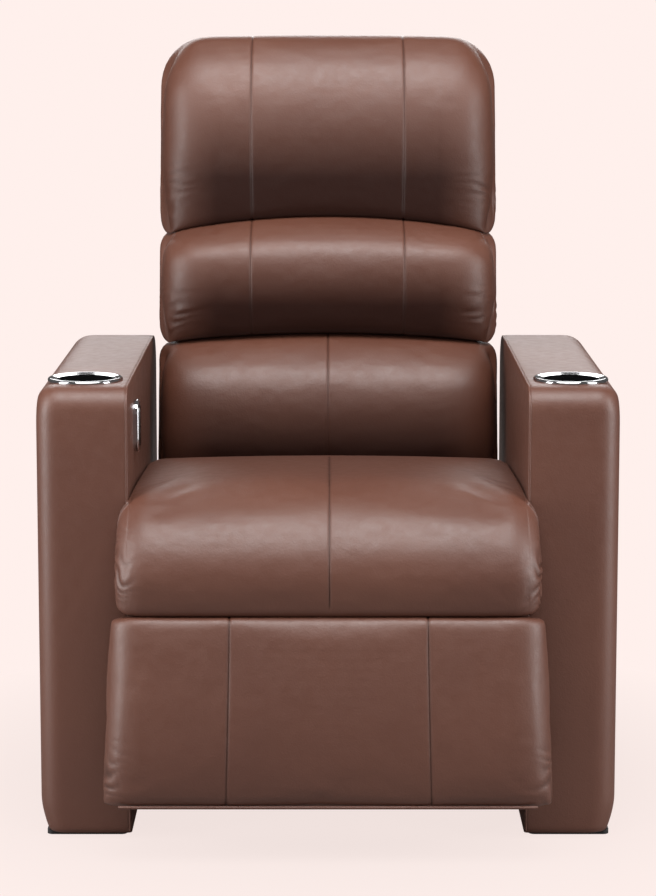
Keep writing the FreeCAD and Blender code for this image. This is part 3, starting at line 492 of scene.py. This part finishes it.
# %% [markdown]
# ## Back cushions
#
# Each back cushion hangs like a waterfall: its upper part slopes forward, it is fullest below the middle,
# and its foot curls under into a dark crease. The crease is higher in the middle than at the corners.
# The profile is drawn in the leaning axes of the back, d into the back and h up along it.

# %% Leaning axes of the back
back_lean = math.radians(15.0)
back_foot = (arm_front / MM + 430.0, 480.0)


def lean_back(loops):
    """From (x, d, h) along the back to (x, y, z)."""
    x, d, h = loops[..., 0], loops[..., 1], loops[..., 2]
    y = back_foot[0] + d * math.cos(back_lean) + h * math.sin(back_lean)
    z = back_foot[1] - d * math.sin(back_lean) + h * math.cos(back_lean)
    return np.stack([x, y, z], axis=-1)


# %% Roll
roll_depth = 88.0
roll_half = 259.0
roll_end = 78.0
# How far the belly stands out, the ends draw back, the corners pull in and the rear spreads.
belly_out = 4.0
end_draw = 50
corner_pull = 13.0
rear_spread = 7.0
point_step = 6.5


def roll_outline(height, top_back, foot_back, belly):
    """Side outline (d, h above the foot): a flat rear, and an even curve in front. In these leaning axes
    it is fullest at belly times the height, which is lower once the back leans."""
    rise = np.linspace(0, 1, 26)
    above = np.clip((rise - belly) / (1 - belly), 0, 1) ** 2.0 * top_back
    below = np.clip((belly - rise) / belly, 0, 1) ** 2.0 * foot_back
    front = list(zip(above + below - belly_out, rise * height))
    top = [(top_back + 14, height + 7), (top_back + 34, height + 8),
           (roll_depth, height + 4), (roll_depth, height - 12)]
    foot = [(roll_depth, 30), (roll_depth, 14), (foot_back + 30, -2), (foot_back + 12, -8), (foot_back + 2, -7)]
    return soft_loop(front + top + foot, point_step, 3)


def corner_drop(x, half, radius):
    """How far an outline rounded by a radius has dropped at x."""
    past = min(radius, max(0.0, abs(x) - (half - radius)))
    return radius - math.sqrt(radius ** 2 - past ** 2)


def back_roll(name, start, height, seams, top_back, foot_back, belly, top_corner, top_bow, foot_bow):
    """One waterfall roll that starts at h = start, with upright seams at the given x.
    Its ends are rounded like a pillow's, its top and foot bow down towards the corners,
    the corners themselves are pulled in, and its rear is a little wider than its front."""
    loop = roll_outline(height, top_back, foot_back, belly)
    rise = np.clip(loop[:, 1] / height, 0, 1)
    low_part = np.clip(1 - rise / 0.6, 0, 1) ** 1.3
    high_part = np.clip((rise - 0.4) / 0.6, 0, 1) ** 1.2
    near_corner = np.clip(1 - rise / 0.35, 0, 1) ** 2 + np.clip((rise - 0.8) / 0.2, 0, 1) ** 2
    fore = np.clip(1 - loop[:, 0] / roll_depth, 0, 1)
    columns = columns_between(-roll_half, roll_half, roll_end, roll_end, column_step, seams)
    loops = []
    for x, low_end, high_end in columns:
        edge = (low_end + high_end) ** 1.15
        d = loop[:, 0] + end_draw * edge * fore
        out = (abs(x) / roll_half) ** 2
        top_drop = corner_drop(x, roll_half, top_corner) + top_bow * out
        h = loop[:, 1] - foot_bow * out * low_part - top_drop * high_part
        narrower = corner_pull / roll_half * near_corner * out * np.minimum(1, 2 * fore)
        wider = rear_spread / roll_half * (1 - fore) ** 2 * out
        loops.append(np.stack([x * (1 - narrower + wider), d, start + h], axis=1))
    return loft(name, lean_back(np.array(loops))), loop, [column[0] for column in columns]


# %% [markdown]
# A seam is sunk after the filling: the column of points on it goes in by a millimetre and a half,
# the leather beside it dips a little with it, and the groove is painted with shade.

# %% Seams and creases
seam_depth = 1.5
groove, dip, dip_reach = 1.5, 6.0, 12


def nearest_columns(places, seams):
    """Number of the column that lies on each seam; places holds the x of every column."""
    return [int(np.argmin([abs(x - seam) for x in places])) for seam in seams]


def sink_seams(piece, loop_on, places, seams):
    """Sink the points near each seam, on the loop points where loop_on is true."""
    count = piece["count"]
    points = read_points(piece)
    normals = read_normals(piece)
    painted_shade = np.zeros(len(points))
    for seam in seams:
        for number, x in enumerate(places):
            away = abs(x - seam)
            if away > dip_reach:
                continue
            share = math.exp(-(away / groove) ** 2) + 0.06 * math.exp(-(away / dip) ** 2)
            rows = (np.arange(count) + number * count)[loop_on]
            points[rows] -= normals[rows] * seam_depth * share * MM
            # Painted shade along the groove of the seam.
            painted_shade[rows] = np.maximum(painted_shade[rows], 0.7 * math.exp(-(away / 1.0) ** 2))
    write_points(piece, points)
    add_painted_shade(piece, painted_shade)


def hold_rear_and_seams(piece, loop, places, seams, rear_from):
    """Grip of each point: the glued rear face fully, the seams mostly."""
    held = np.zeros(len(piece.data.vertices))
    count = piece["count"]
    rear = loop[:, 0] > rear_from
    for number, x in enumerate(places):
        rows = np.arange(count) + number * count
        held[rows[rear]] = 1.0
        if any(abs(x - seam) < 0.1 for seam in seams):
            held[rows] = np.maximum(held[rows], 0.9)
    return held


# %% [markdown]
# Where a cover turns a tight corner, the leather gathers in short folds beside the corner.
# They are waves across the surface whose height dies away from the corner. Noise bends them,
# so that no two are alike, and their valleys are painted with shade.

# %% Gathers
fold_noise = 34.0
fold_slant, fold_bend = 0.3, 38


def gather(piece, corner, along, reach, wave, height, seed):
    """Fold the surface in waves that run away from a corner. Along is the direction in which the folds
    follow each other; reach says how far they spread along it and across it. All in millimetres."""
    points = read_points(piece)
    normals = read_normals(piece)
    offset = points / MM - np.array(corner, float)
    along = np.array(along, float) / np.linalg.norm(along)
    spot = offset @ along
    radial = np.linalg.norm(offset - np.outer(spot, along), axis=1)
    fade = np.exp(-(spot / reach[0]) ** 2) * np.exp(-(radial / reach[1]) ** 1.6)
    shift = np.zeros(len(points))
    for index in np.nonzero(fade > 0.02)[0]:
        wobble = noise.noise(Vector(points[index] / MM / fold_noise) + Vector((seed, 0, 0)))
        along_wave = spot[index] + radial[index] * fold_slant + fold_bend * wobble
        waves = math.sin(along_wave / wave * 2 * math.pi)
        sharp = 1 - 2 * (1 - abs(waves)) ** 1.5 if waves < 0 else waves * 0.6
        swing = waves * (0.6 + 1.2 * wobble) - 0.2
        shift[index] = height * fade[index] * swing * (0.7 + 0.3 * abs(sharp))
    write_points(piece, points + normals * shift[:, None] * MM)
    # Painted shade in the valleys of the folds.
    add_painted_shade(piece, np.clip(-shift / max(height, 0.1), 0, 1) * 0.6)


# %% [markdown]
# The three back cushions are built alike, so one function makes them all, each from its own sizes.
# The head cushion has the widest rounded corners. The lower one sinks behind the seat and has a single seam.

# %% Three back cushions
def dress(piece, body, node):
    """Hand a finished soft piece to the frame."""
    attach(piece, body)
    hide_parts(node)
    print(piece.name, len(piece.data.polygons), "faces")


seam_lines = {"back": [], "seat": [], "footrest": []}


def note_seam(body, piece, loop_on, places, seams):
    """Remember the points along each seam, for the stitches. The shown part of the loop may lie
    on both sides of its first point, so the row is turned to start after the hidden part."""
    count = piece["count"]
    points, normals = read_points(piece), read_normals(piece)
    chosen = np.nonzero(loop_on)[0]
    gap = int(np.argmax(np.diff(np.concatenate([chosen, chosen[:1] + count]))))
    chosen = np.roll(chosen, -gap - 1)
    for number in nearest_columns(places, seams):
        rows = chosen + number * count
        seam_lines[body].append((points[rows], normals[rows]))


def shade_foot(piece, start, height):
    """Painted shade under a roll: a broad value on the lower part, less towards the ends."""
    points = read_points(piece) / MM
    into, above = points[:, 1] - back_foot[0], points[:, 2] - back_foot[1]
    up = into * math.sin(back_lean) + above * math.cos(back_lean)
    low_share = np.clip(1 - (up - start) / (0.66 * height), 0, 1)
    middle_share = np.clip(1.3 - (np.abs(points[:, 0]) / roll_half) ** 3, 0, 1)
    add_painted_shade(piece, np.minimum(1.0, 1.35 * low_share) * middle_share)


rear_glued, rear_hidden = 14, 20
fold_in, fold_up = 34.0, 24


def make_back_cushion(name, node, start, height, seams, corner_folds, **form):
    """Loft a roll, fill it, sink its seams, then smooth it, paint shade under its foot and fold its lower
    corners.
    """
    piece, loop, places = back_roll(name, start, height, seams, **form)
    held = hold_rear_and_seams(piece, loop, places, seams, roll_depth - rear_glued)
    fill_with_foam(piece, held, cap=6.0)
    shown = loop[:, 0] < roll_depth - rear_hidden
    sink_seams(piece, shown, places, seams)
    smooth_once(piece)
    note_seam("back", piece, shown, places, seams)
    shade_foot(piece, start, height)
    if corner_folds:
        for side in (-1, 1):
            corner = lean_back(np.array([side * roll_half, fold_in, start + fold_up]))
            gather(piece, corner, (0.35 * side, 0.1, 1.0), (30, 40), 21.0, 3.4, 3.7 * side + fold_up)
    dress(piece, "back", node)


make_back_cushion(
    "head_cushion", "back_cushion_head", start=384, height=278, seams=(-120.0, 119.0), corner_folds=True,
    top_back=40, foot_back=46, belly=0.66, top_corner=54, top_bow=4, foot_bow=25)
make_back_cushion(
    "middle_cushion", "back_cushion_middle", start=198, height=180, seams=(-120.0, 119.0), corner_folds=True,
    top_back=62, foot_back=40, belly=0.58, top_corner=22, top_bow=25, foot_bow=13)
make_back_cushion(
    "lower_cushion", "back_cushion_lower", start=-40, height=229, seams=(0.0,), corner_folds=False,
    top_back=62, foot_back=42, belly=0.60, top_corner=20, top_bow=13, foot_bow=0)

# %% [markdown]
# ## Rear cover
#
# Behind the cushions a leather cover is drawn over the back frame. It is a flat box with rounded rear edges,
# and its front is hidden behind the cushions.
# Its loops are drawn in and set back step by step to round the edge.

# %% Rear cover
panel_step = 9.0


def make_rear_cover():
    half, top, foot, square, rounded = 252.0, 649.0, -60.0, 10, 60.0
    corners = [(-half, foot, square), (half, foot, square), (half, top, rounded), (-half, top, rounded)]
    loop = rounded_loop(corners, panel_step)
    inset_and_depth = [(0, 96), (0, 120), (0, 146), (1.5, 156), (5, 165), (10, 171), (17, 174.5)]
    loops = [np.column_stack([inset_loop(loop, [inset] * 4), np.full(len(loop), depth)])
             for inset, depth in inset_and_depth]
    array = np.array([lean_back(ring[:, [0, 2, 1]]) for ring in loops])
    piece = loft("rear_cover", array, rings=(0.97, 0.9, 0.8, 0.66, 0.5, 0.32), crown=0.0)
    smooth_once(piece)
    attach(piece, "back")
    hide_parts("back_shell")
    print(piece.name, len(piece.data.polygons), "faces")


make_rear_cover()

# %% [markdown]
# ## Seat cushion
#
# The seat is one cover with two parts: a wide nose that stands in front of the arms,
# and a deck that runs back between them. The loops keep the same number of points where the nose ends
# and the deck begins. Beside the deck their rear part is drawn forward to the line of the arms,
# and that makes the side of the deck.

# %% Seat
deck_half = 274.0
nose_half = 291.0
nose_front, nose_rear = -94.0, -5.0
deck_rear = 404.0
seat_low, seat_high = 339.0, 500.0
shoulder = 44.0
deck_end = 32


def seat_section():
    """Side profile in (y from the arm front, z): a full nose, a crown just behind it
    and a deck that falls to the rear."""
    corners = [
        (-40, seat_low), (deck_rear, seat_low), (deck_rear, seat_low), (deck_rear, 476), (deck_rear, 480),
        (300, 487), (120, seat_high), (34, seat_high + 2), (-14, seat_high - 6), (-52, seat_high - 28),
        (-82, seat_high - 62), (nose_front - 3, 400), (nose_front, 362), (nose_front + 6, seat_low - 1),
        (-76, seat_low - 2), (-60, seat_low - 1)]
    return soft_loop(corners, 7.0, 3)


def seat_column(loop, x):
    """The profile at x: round the shoulder it is drawn in most from the front and the top, as on a pillow,
    and its crown falls a little from the middle to the sides."""
    edge = min(1.0, corner_drop(x, nose_half, shoulder) / shoulder)
    crown = 7 * (x / nose_half) ** 2
    return inset_loop(loop, [34 * edge, 6 * edge, 22 * edge ** 2, 46 * edge + crown])


def seat_loops(deck, seams):
    """(x, profile) of every column: the nose alone at both sides, the nose and the deck between them."""
    drawn = np.where(deck[:, 0] > nose_rear, nose_rear + 0.02 * (deck[:, 0] - nose_rear), deck[:, 0])
    nose = np.column_stack([drawn, deck[:, 1]])
    beside_deck = deck_half + 0.6
    side = [(beside_deck, seat_column(nose, beside_deck))]
    for turn in np.linspace(0.2, 1, 6) * math.pi / 2:
        x = nose_half - (nose_half - deck_half - 1) * (1 - math.sin(turn))
        side.append((x, seat_column(nose, x)))
    columns = columns_between(-deck_half, deck_half, deck_end, deck_end, column_step, seams)
    middle = [(column[0], seat_column(deck, column[0])) for column in columns]
    return [(-x, loop) for x, loop in side[::-1]] + middle + side


def make_seat():
    seams = (2.0,)
    deck = seat_section()
    loops = seat_loops(deck, seams)
    places = [x for x, loop in loops]
    front = arm_front / MM
    array = np.array([np.column_stack([np.full(len(loop), x), loop[:, 0] + front, loop[:, 1]])
                      for x, loop in loops])
    piece = loft("seat_cover", array)
    count = piece["count"]
    points = read_points(piece) / MM
    held = np.zeros(len(points))  # glued: the underside, the rear edge and the sides of the deck
    held[points[:, 2] < seat_low + 3] = 1.0
    held[points[:, 1] > front + deck_rear - 20] = 1.0
    held[(np.abs(points[:, 0]) > deck_half - 6) & (points[:, 1] > front - 8)] = 1.0
    held[np.arange(count) + nearest_columns(places, seams)[0] * count] = 0.9
    fill_with_foam(piece, held, cap=6.0)
    upper = (deck[:, 1] > seat_low + 14) & (deck[:, 0] < deck_rear - 30)
    sink_seams(piece, upper, places, seams)
    smooth_once(piece)
    note_seam("seat", piece, upper, places, seams)
    for side in (-1, 1):
        corner = (side * nose_half, front + nose_front + 40, 388)
        gather(piece, corner, (0, 0.15, 1), (44, 34), 17.0, 3.0, 3.1 * side)
    dress(piece, "seat", "seat_cushion")


make_seat()

# %% [markdown]
# ## Footrest
#
# The footrest hangs under the seat when it is closed.
# It is wider at its foot, and its two seams lean with its sides.

# %% Footrest
pad_lean = math.radians(6.96)
pad_top = (arm_front / MM - 97.3, 337.0)
pad_height = 258.0
pad_half = 297.0
pad_flare = 11.0
pad_end = 44
pad_rear = 59


def pad_place(x, d, h):
    """From (x, d behind the face, h above the top edge) to (x, y, z); the pad grows wider towards its foot."""
    y = pad_top[0] + d * math.cos(pad_lean) + h * math.sin(pad_lean)
    z = pad_top[1] - d * math.sin(pad_lean) + h * math.cos(pad_lean)
    return np.stack([x * (1 + pad_flare / pad_half * np.abs(h / pad_height) ** 1.6), y, z], axis=-1)


def make_footrest():
    seams = (-134.0, 136.0)
    top, foot = 1.0, -pad_height
    corners = [
        (26, top + 2), (9, top + 1), (1, top - 6), (-3, 0.25 * foot), (-7, 0.5 * foot), (-5, 0.75 * foot),
        (3, foot + 18), (9, foot + 5), (20, foot - 1), (34, foot), (pad_rear, foot), (pad_rear, foot),
        (pad_rear, top), (pad_rear, top)]
    loop = soft_loop(corners, point_step)
    columns = columns_between(-pad_half, pad_half, pad_end, pad_end, column_step, seams)
    places = [column[0] for column in columns]
    loops = []
    for x, low_end, high_end in columns:
        edge = low_end + high_end
        ring = inset_loop(loop, [34 * edge, 0, 4 * edge, 10 * edge])
        loops.append(pad_place(np.full(len(ring), x), ring[:, 0], ring[:, 1]))
    piece = loft("footrest_cover", np.array(loops))
    held = hold_rear_and_seams(piece, loop, places, seams, 48)
    fill_with_foam(piece, held, cap=5.0)
    shown = loop[:, 0] < 36
    sink_seams(piece, shown, places, seams)
    smooth_once(piece)
    note_seam("footrest", piece, shown, places, seams)
    for side in (-1, 1):
        corner = pad_place(np.float64(side * pad_half), 20.0, -pad_height + 40)
        gather(piece, corner, (0.2 * side, 0, 1), (40, 30), 19.0, 1.8, 5.3 * side)
    dress(piece, "footrest", "footrest_pad")


make_footrest()

# %% [markdown]
# ## Arms
#
# An arm is a plywood box under thin foam, so its cover is tight. Its outer edges are widely rounded,
# and its inner edges are nearly sharp and carry a welt.
# The arm is lofted across its thickness, and its side panels are the caps.

# %% Arm
side_names = {1: "left", -1: "right"}


def cutter(place, axis, radii, depth):
    """An oval cylinder in millimetres, to cut a hole with."""
    bpy.ops.mesh.primitive_cylinder_add(vertices=64, radius=1.0, depth=1.0)
    tool = bpy.context.active_object
    tool.scale = (radii[0] * MM, radii[1] * MM, depth * MM)
    tool.rotation_euler = (0, math.pi / 2, 0) if axis == "X" else (0, 0, 0)
    tool.location = Vector(place) * MM
    return tool


def cut(piece, tool):
    modifier = piece.modifiers.new("hole", "BOOLEAN")
    modifier.operation, modifier.solver, modifier.object = "DIFFERENCE", "EXACT", tool
    keep_result(piece, modifier)
    bpy.data.objects.remove(tool)


def middle_of(node):
    low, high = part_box(node)
    return [(a + b) / 2 / MM for a, b in zip(low, high)]


inner_x, outer_x = 276.0, 405.0
inner_round, outer_round, outer_round_top = 6, 29, 24
foot_radius, front_radius, rear_radius = 3, 31, 55
taper, taper_height = 11, 46
cup_hole, cup_depth = (46, 46), 110
switch_hole, switch_depth, switch_x = (32.5, 15.5), 40, -290
panel_rings = (0.985, 0.95, 0.9, 0.83, 0.74, 0.62, 0.48, 0.32, 0.16)


def make_arm(side):
    """One arm cover: lofted from its inner to its outer face, drawn in a little at its outer foot,
    and cut for its cup holder. The right one is also cut for the switch."""
    word = side_names[side]
    low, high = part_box("arm_cover_" + word)
    y0, y1, z0, z1 = [v / MM for v in (low.y, high.y, low.z, high.z)]
    corners = [(y0, z0, foot_radius), (y1, z0, foot_radius), (y1, z1, rear_radius), (y0, z1, front_radius)]
    loop = rounded_loop(corners, panel_step)
    loops = []
    for x, inner_end, outer_end in columns_between(inner_x, outer_x, inner_round, outer_round, panel_step):
        ends = inner_round * inner_end + outer_round * outer_end
        top = inner_round * inner_end + outer_round_top * outer_end
        loops.append(np.column_stack([np.full(len(loop), side * x), inset_loop(loop, [ends, ends, 0, top])]))
    array = np.array(loops if side > 0 else loops[::-1])
    piece = loft("arm_leather_" + word, array, panel_rings, crown=0.0)
    points = read_points(piece)
    foot_part = np.clip(1 - (points[:, 2] / MM - z0) / taper_height, 0, 1) ** 1.5
    far = (np.abs(points[:, 0]) / MM - inner_x) / (outer_x - inner_x)
    points[:, 0] -= side * taper * MM * foot_part * far
    write_points(piece, points)
    smooth_once(piece)
    cup = middle_of("cup_rim_" + word)
    cut(piece, cutter((cup[0], cup[1], z1 - 20), "Z", cup_hole, cup_depth))
    if side < 0:
        switch = middle_of("switch_bezel")
        cut(piece, cutter((switch_x, switch[1], switch[2]), "X", switch_hole, switch_depth))
    dress(piece, "base", "arm_cover_" + word)


for side in (-1, 1):
    make_arm(side)

# %% [markdown]
# ## Stitches and welts
#
# A top-stitched seam has a row of thread on each side of it, about 4 mm away.
# Its stitches are 3 mm long and follow each other every 4.2 mm.
# Geometry Nodes lays them: the row is a curve, points are set out along it at that pitch, and each point
# gets a small spindle of thread that lies along the curve. A welt is a tube swept along its edge.
# The result of each tree is kept as a plain mesh, one for each moving body.

# %% Geometry Nodes helpers
def new_tree(name, sockets):
    """A tree with a geometry input and output and the named input sockets; returns it with its input node."""
    tree = bpy.data.node_groups.new(name, "GeometryNodeTree")
    tree.interface.new_socket("Geometry", in_out="INPUT", socket_type="NodeSocketGeometry")
    for label, kind, value in sockets:
        made = tree.interface.new_socket(label, in_out="INPUT", socket_type=kind)
        if value is not None:
            made.default_value = value
    tree.interface.new_socket("Geometry", in_out="OUTPUT", socket_type="NodeSocketGeometry")
    return tree, tree.nodes.new("NodeGroupInput")


def close_tree(tree, source, geometry):
    """End a tree: real geometry, shaded smooth, in the material that the tree was given."""
    real = add_node(tree, "GeometryNodeRealizeInstances", {"Geometry": geometry})
    smooth = add_node(tree, "GeometryNodeSetShadeSmooth", {"Geometry": real.outputs[0]})
    finish = add_node(tree, "GeometryNodeSetMaterial", {
        "Geometry": smooth.outputs[0], "Material": source.outputs["Material"]})
    end = tree.nodes.new("NodeGroupOutput")
    tree.links.new(finish.outputs[0], end.inputs[0])


def stitch_tree():
    tree, source = new_tree("stitches", [
        ("Pitch", "NodeSocketFloat", 0.0042), ("Length", "NodeSocketFloat", 0.0015),
        ("Thickness", "NodeSocketFloat", 0.00045), ("Material", "NodeSocketMaterial", None)])
    line = add_node(tree, "GeometryNodeMeshToCurve", {"Mesh": source.outputs["Geometry"]})
    spots = add_node(tree, "GeometryNodeCurveToPoints", {
        "Curve": line.outputs[0], "Length": source.outputs["Pitch"]}, mode="LENGTH")
    spindle = add_node(tree, "GeometryNodeMeshUVSphere", {"Segments": 6, "Rings": 4, "Radius": 1.0})
    size = add_node(tree, "ShaderNodeCombineXYZ", {
        0: source.outputs["Thickness"], 1: source.outputs["Thickness"], 2: source.outputs["Length"]})
    turned = add_node(tree, "FunctionNodeAlignRotationToVector", {
        "Vector": spots.outputs["Tangent"]}, axis="Z")
    placed = add_node(tree, "GeometryNodeInstanceOnPoints", {
        "Points": spots.outputs["Points"], "Instance": spindle.outputs[0],
        "Rotation": turned.outputs[0], "Scale": size.outputs[0]})
    close_tree(tree, source, placed.outputs[0])
    return tree


def welt_tree():
    tree, source = new_tree("welt", [
        ("Radius", "NodeSocketFloat", 0.002), ("Step", "NodeSocketFloat", 0.008),
        ("Material", "NodeSocketMaterial", None)])
    line = add_node(tree, "GeometryNodeMeshToCurve", {"Mesh": source.outputs["Geometry"]})
    even = add_node(tree, "GeometryNodeResampleCurve", {
        "Curve": line.outputs[0], "Length": source.outputs["Step"]}, mode="LENGTH")
    circle = add_node(tree, "GeometryNodeCurvePrimitiveCircle", {
        "Resolution": 8, "Radius": source.outputs["Radius"]})
    tube = add_node(tree, "GeometryNodeCurveToMesh", {
        "Curve": even.outputs[0], "Profile Curve": circle.outputs[0], "Fill Caps": True})
    close_tree(tree, source, tube.outputs[0])
    return tree


def run_tree(name, lines, tree, values):
    """Run a tree on polylines (arrays of points in metres) and keep its result as a plain mesh object."""
    points, edges = [], []
    for line in lines:
        start = len(points)
        points += [tuple(p) for p in line]
        edges += [(start + i, start + i + 1) for i in range(len(line) - 1)]
    mesh = bpy.data.meshes.new(name)
    mesh.from_pydata(points, edges, [])
    piece = link_new(name, mesh)
    modifier = piece.modifiers.new("tree", "NODES")
    modifier.node_group = tree
    for item in tree.interface.items_tree:
        if item.in_out == "INPUT" and item.name in values:
            modifier[item.identifier] = values[item.name]
    keep_result(piece, modifier)
    print(name, len(piece.data.polygons), "faces")
    return piece


# %% Stitches
def thread_finish():
    """Twisted thread, in browns close to the leather's."""
    material, tree, place = new_material("brown_thread")
    twist = add_node(tree, "ShaderNodeTexWave", {"Vector": place, "Scale": 900.0, "Distortion": 1.0})
    colour = add_node(tree, "ShaderNodeMix", {
        0: twist.outputs["Fac"], 6: linear(62, 34, 24), 7: linear(86, 52, 38)}, data_type="RGBA")
    shader = add_node(tree, "ShaderNodeBsdfPrincipled", {"Base Color": colour.outputs[2], "Roughness": 0.55})
    add_node(tree, "ShaderNodeOutputMaterial", {"Surface": shader.outputs[0]})
    return material


thread = thread_finish()
stitches = stitch_tree()
seam_gap, thread_lift = 4.2 * MM, 0.25
for body, lines in seam_lines.items():
    rows = []
    for points, normals in lines:
        for side in (-1, 1):
            rows.append(points + normals * thread_lift * MM + np.array([side * seam_gap, 0, 0]))
    piece = run_tree("stitches_" + body, rows, stitches, {"Material": thread})
    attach(piece, body)

# %% Welts
welts = welt_tree()
welt_x, welt_inset = 0.2783, 0.0022
front_bend, rear_bend = 0.029, 0.052


def arm_welt(side):
    """The inner edge of an arm, up its front, along its top and down its rear, as points in metres."""
    low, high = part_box("arm_cover_" + side_names[side])
    x = side * welt_x
    front, rear = low.y + welt_inset, high.y - 0.004
    top, foot = high.z - welt_inset, low.z + 0.006
    turns = np.linspace(0, math.pi / 2, 9)
    rise = [(x, front + front_bend - front_bend * math.cos(t), top - front_bend + front_bend * math.sin(t))
            for t in turns]
    fall = [(x, rear - rear_bend + rear_bend * math.sin(t), top - rear_bend + rear_bend * math.cos(t))
            for t in turns]
    return np.array([(x, front, foot)] + rise + fall + [(x, rear, foot)])


def footrest_welt(count=60, short=22):
    """The line along the foot of the footrest pad, a little shorter than the pad at both ends."""
    xs = np.linspace(-pad_half + short, pad_half - short, count)
    return pad_place(xs, 11.0, np.full(count, -pad_height + 1.0)) * MM


base_welts = run_tree("arm_welts", [arm_welt(side) for side in (-1, 1)], welts, {
    "Material": leather, "Radius": 0.0021})
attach(base_welts, "base")
foot_welt = run_tree("footrest_welt", [footrest_welt()], welts, {"Material": leather, "Radius": 0.0024})
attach(foot_welt, "footrest")

# %% [markdown]
# ## Finishes of the mechanism
#
# The frame keeps the shapes of the model and gets real surfaces: powder-coated and zinc-plated steel,
# birch plywood whose layers show on its edges, polished chrome, gloss and matt black plastic.

# %% Metal, plastic and wood
def plain_finish(name, low, high, rough, metallic=0.0, scale=60.0, bump=0.1, coat=0.0):
    """A finish that varies slowly between two colours and two values of roughness, with a fine bump."""
    material, tree, place = new_material(name)
    cloud = add_node(tree, "ShaderNodeTexNoise", {"Vector": place, "Scale": scale, "Detail": 3.0})
    fine = add_node(tree, "ShaderNodeTexNoise", {"Vector": place, "Scale": scale * 14, "Detail": 2.0})
    colour = add_node(tree, "ShaderNodeMix", {0: cloud.outputs["Fac"], 6: low, 7: high}, data_type="RGBA")
    gloss = add_node(tree, "ShaderNodeMapRange", {
        "Value": cloud.outputs["Fac"], "To Min": rough[0], "To Max": rough[1]})
    relief = add_node(tree, "ShaderNodeBump", {
        "Strength": bump, "Distance": 0.0003, "Height": fine.outputs["Fac"]})
    shader = add_node(tree, "ShaderNodeBsdfPrincipled", {
        "Base Color": colour.outputs[2], "Metallic": metallic, "Roughness": gloss.outputs["Result"],
        "Coat Weight": coat, "Coat Roughness": 0.1, "Normal": relief.outputs["Normal"]})
    add_node(tree, "ShaderNodeOutputMaterial", {"Surface": shader.outputs[0]})
    return material


def plywood_finish():
    """Birch layers 1.4 mm thick, stacked across the seat's width, with a long upright grain on the faces."""
    material, tree, place = new_material("birch_plywood")
    stretched = add_node(tree, "ShaderNodeMapping", {"Vector": place, "Scale": (1.0, 1.0, 0.08)})
    grain = add_node(tree, "ShaderNodeTexNoise", {
        "Vector": stretched.outputs[0], "Scale": 160.0, "Detail": 5.0, "Roughness": 0.65})
    layers = add_node(tree, "ShaderNodeTexWave", {
        "Vector": place, "Scale": 110.0, "Distortion": 0.4, "Detail": 1.0}, bands_direction="X")
    both = add_node(tree, "ShaderNodeMath", {
        0: layers.outputs["Fac"], 1: 0.35, 2: grain.outputs["Fac"]}, operation="MULTIPLY_ADD")
    ramp = add_node(tree, "ShaderNodeValToRGB", {"Fac": both.outputs[0]})
    ramp.color_ramp.elements[0].position, ramp.color_ramp.elements[0].color = 0.3, linear(150, 112, 70)
    ramp.color_ramp.elements[1].position, ramp.color_ramp.elements[1].color = 0.95, linear(214, 180, 132)
    relief = add_node(tree, "ShaderNodeBump", {
        "Strength": 0.2, "Distance": 0.0004, "Height": grain.outputs["Fac"]})
    shader = add_node(tree, "ShaderNodeBsdfPrincipled", {
        "Base Color": ramp.outputs["Color"], "Roughness": 0.62, "Normal": relief.outputs["Normal"]})
    add_node(tree, "ShaderNodeOutputMaterial", {"Surface": shader.outputs[0]})
    return material


finishes = {
    "steel": plain_finish("powder_coat", linear(34, 34, 36), linear(46, 46, 48), (0.42, 0.55), bump=0.35),
    "zinc": plain_finish(
        "bright_zinc", linear(176, 176, 180), linear(206, 204, 198), (0.24, 0.36), metallic=1.0, scale=40.0),
    "chrome": plain_finish(
        "polished_chrome", linear(196, 196, 199), linear(212, 212, 215), (0.05, 0.10), metallic=1.0, bump=0.02),
    "black_gloss": plain_finish(
        "gloss_black", linear(12, 12, 13), linear(20, 20, 21), (0.10, 0.16), bump=0.02, coat=0.6),
    "black_plastic": plain_finish(
        "matt_black", linear(24, 24, 25), linear(34, 34, 35), (0.46, 0.60), bump=0.30),
    "plywood": plywood_finish(),
}
for node in nodes.values():
    for slot in node.material_slots:
        wanted = slot.material.name.split(".")[0]
        if wanted in finishes:
            slot.material = finishes[wanted]
print("finished nodes:", len(nodes))
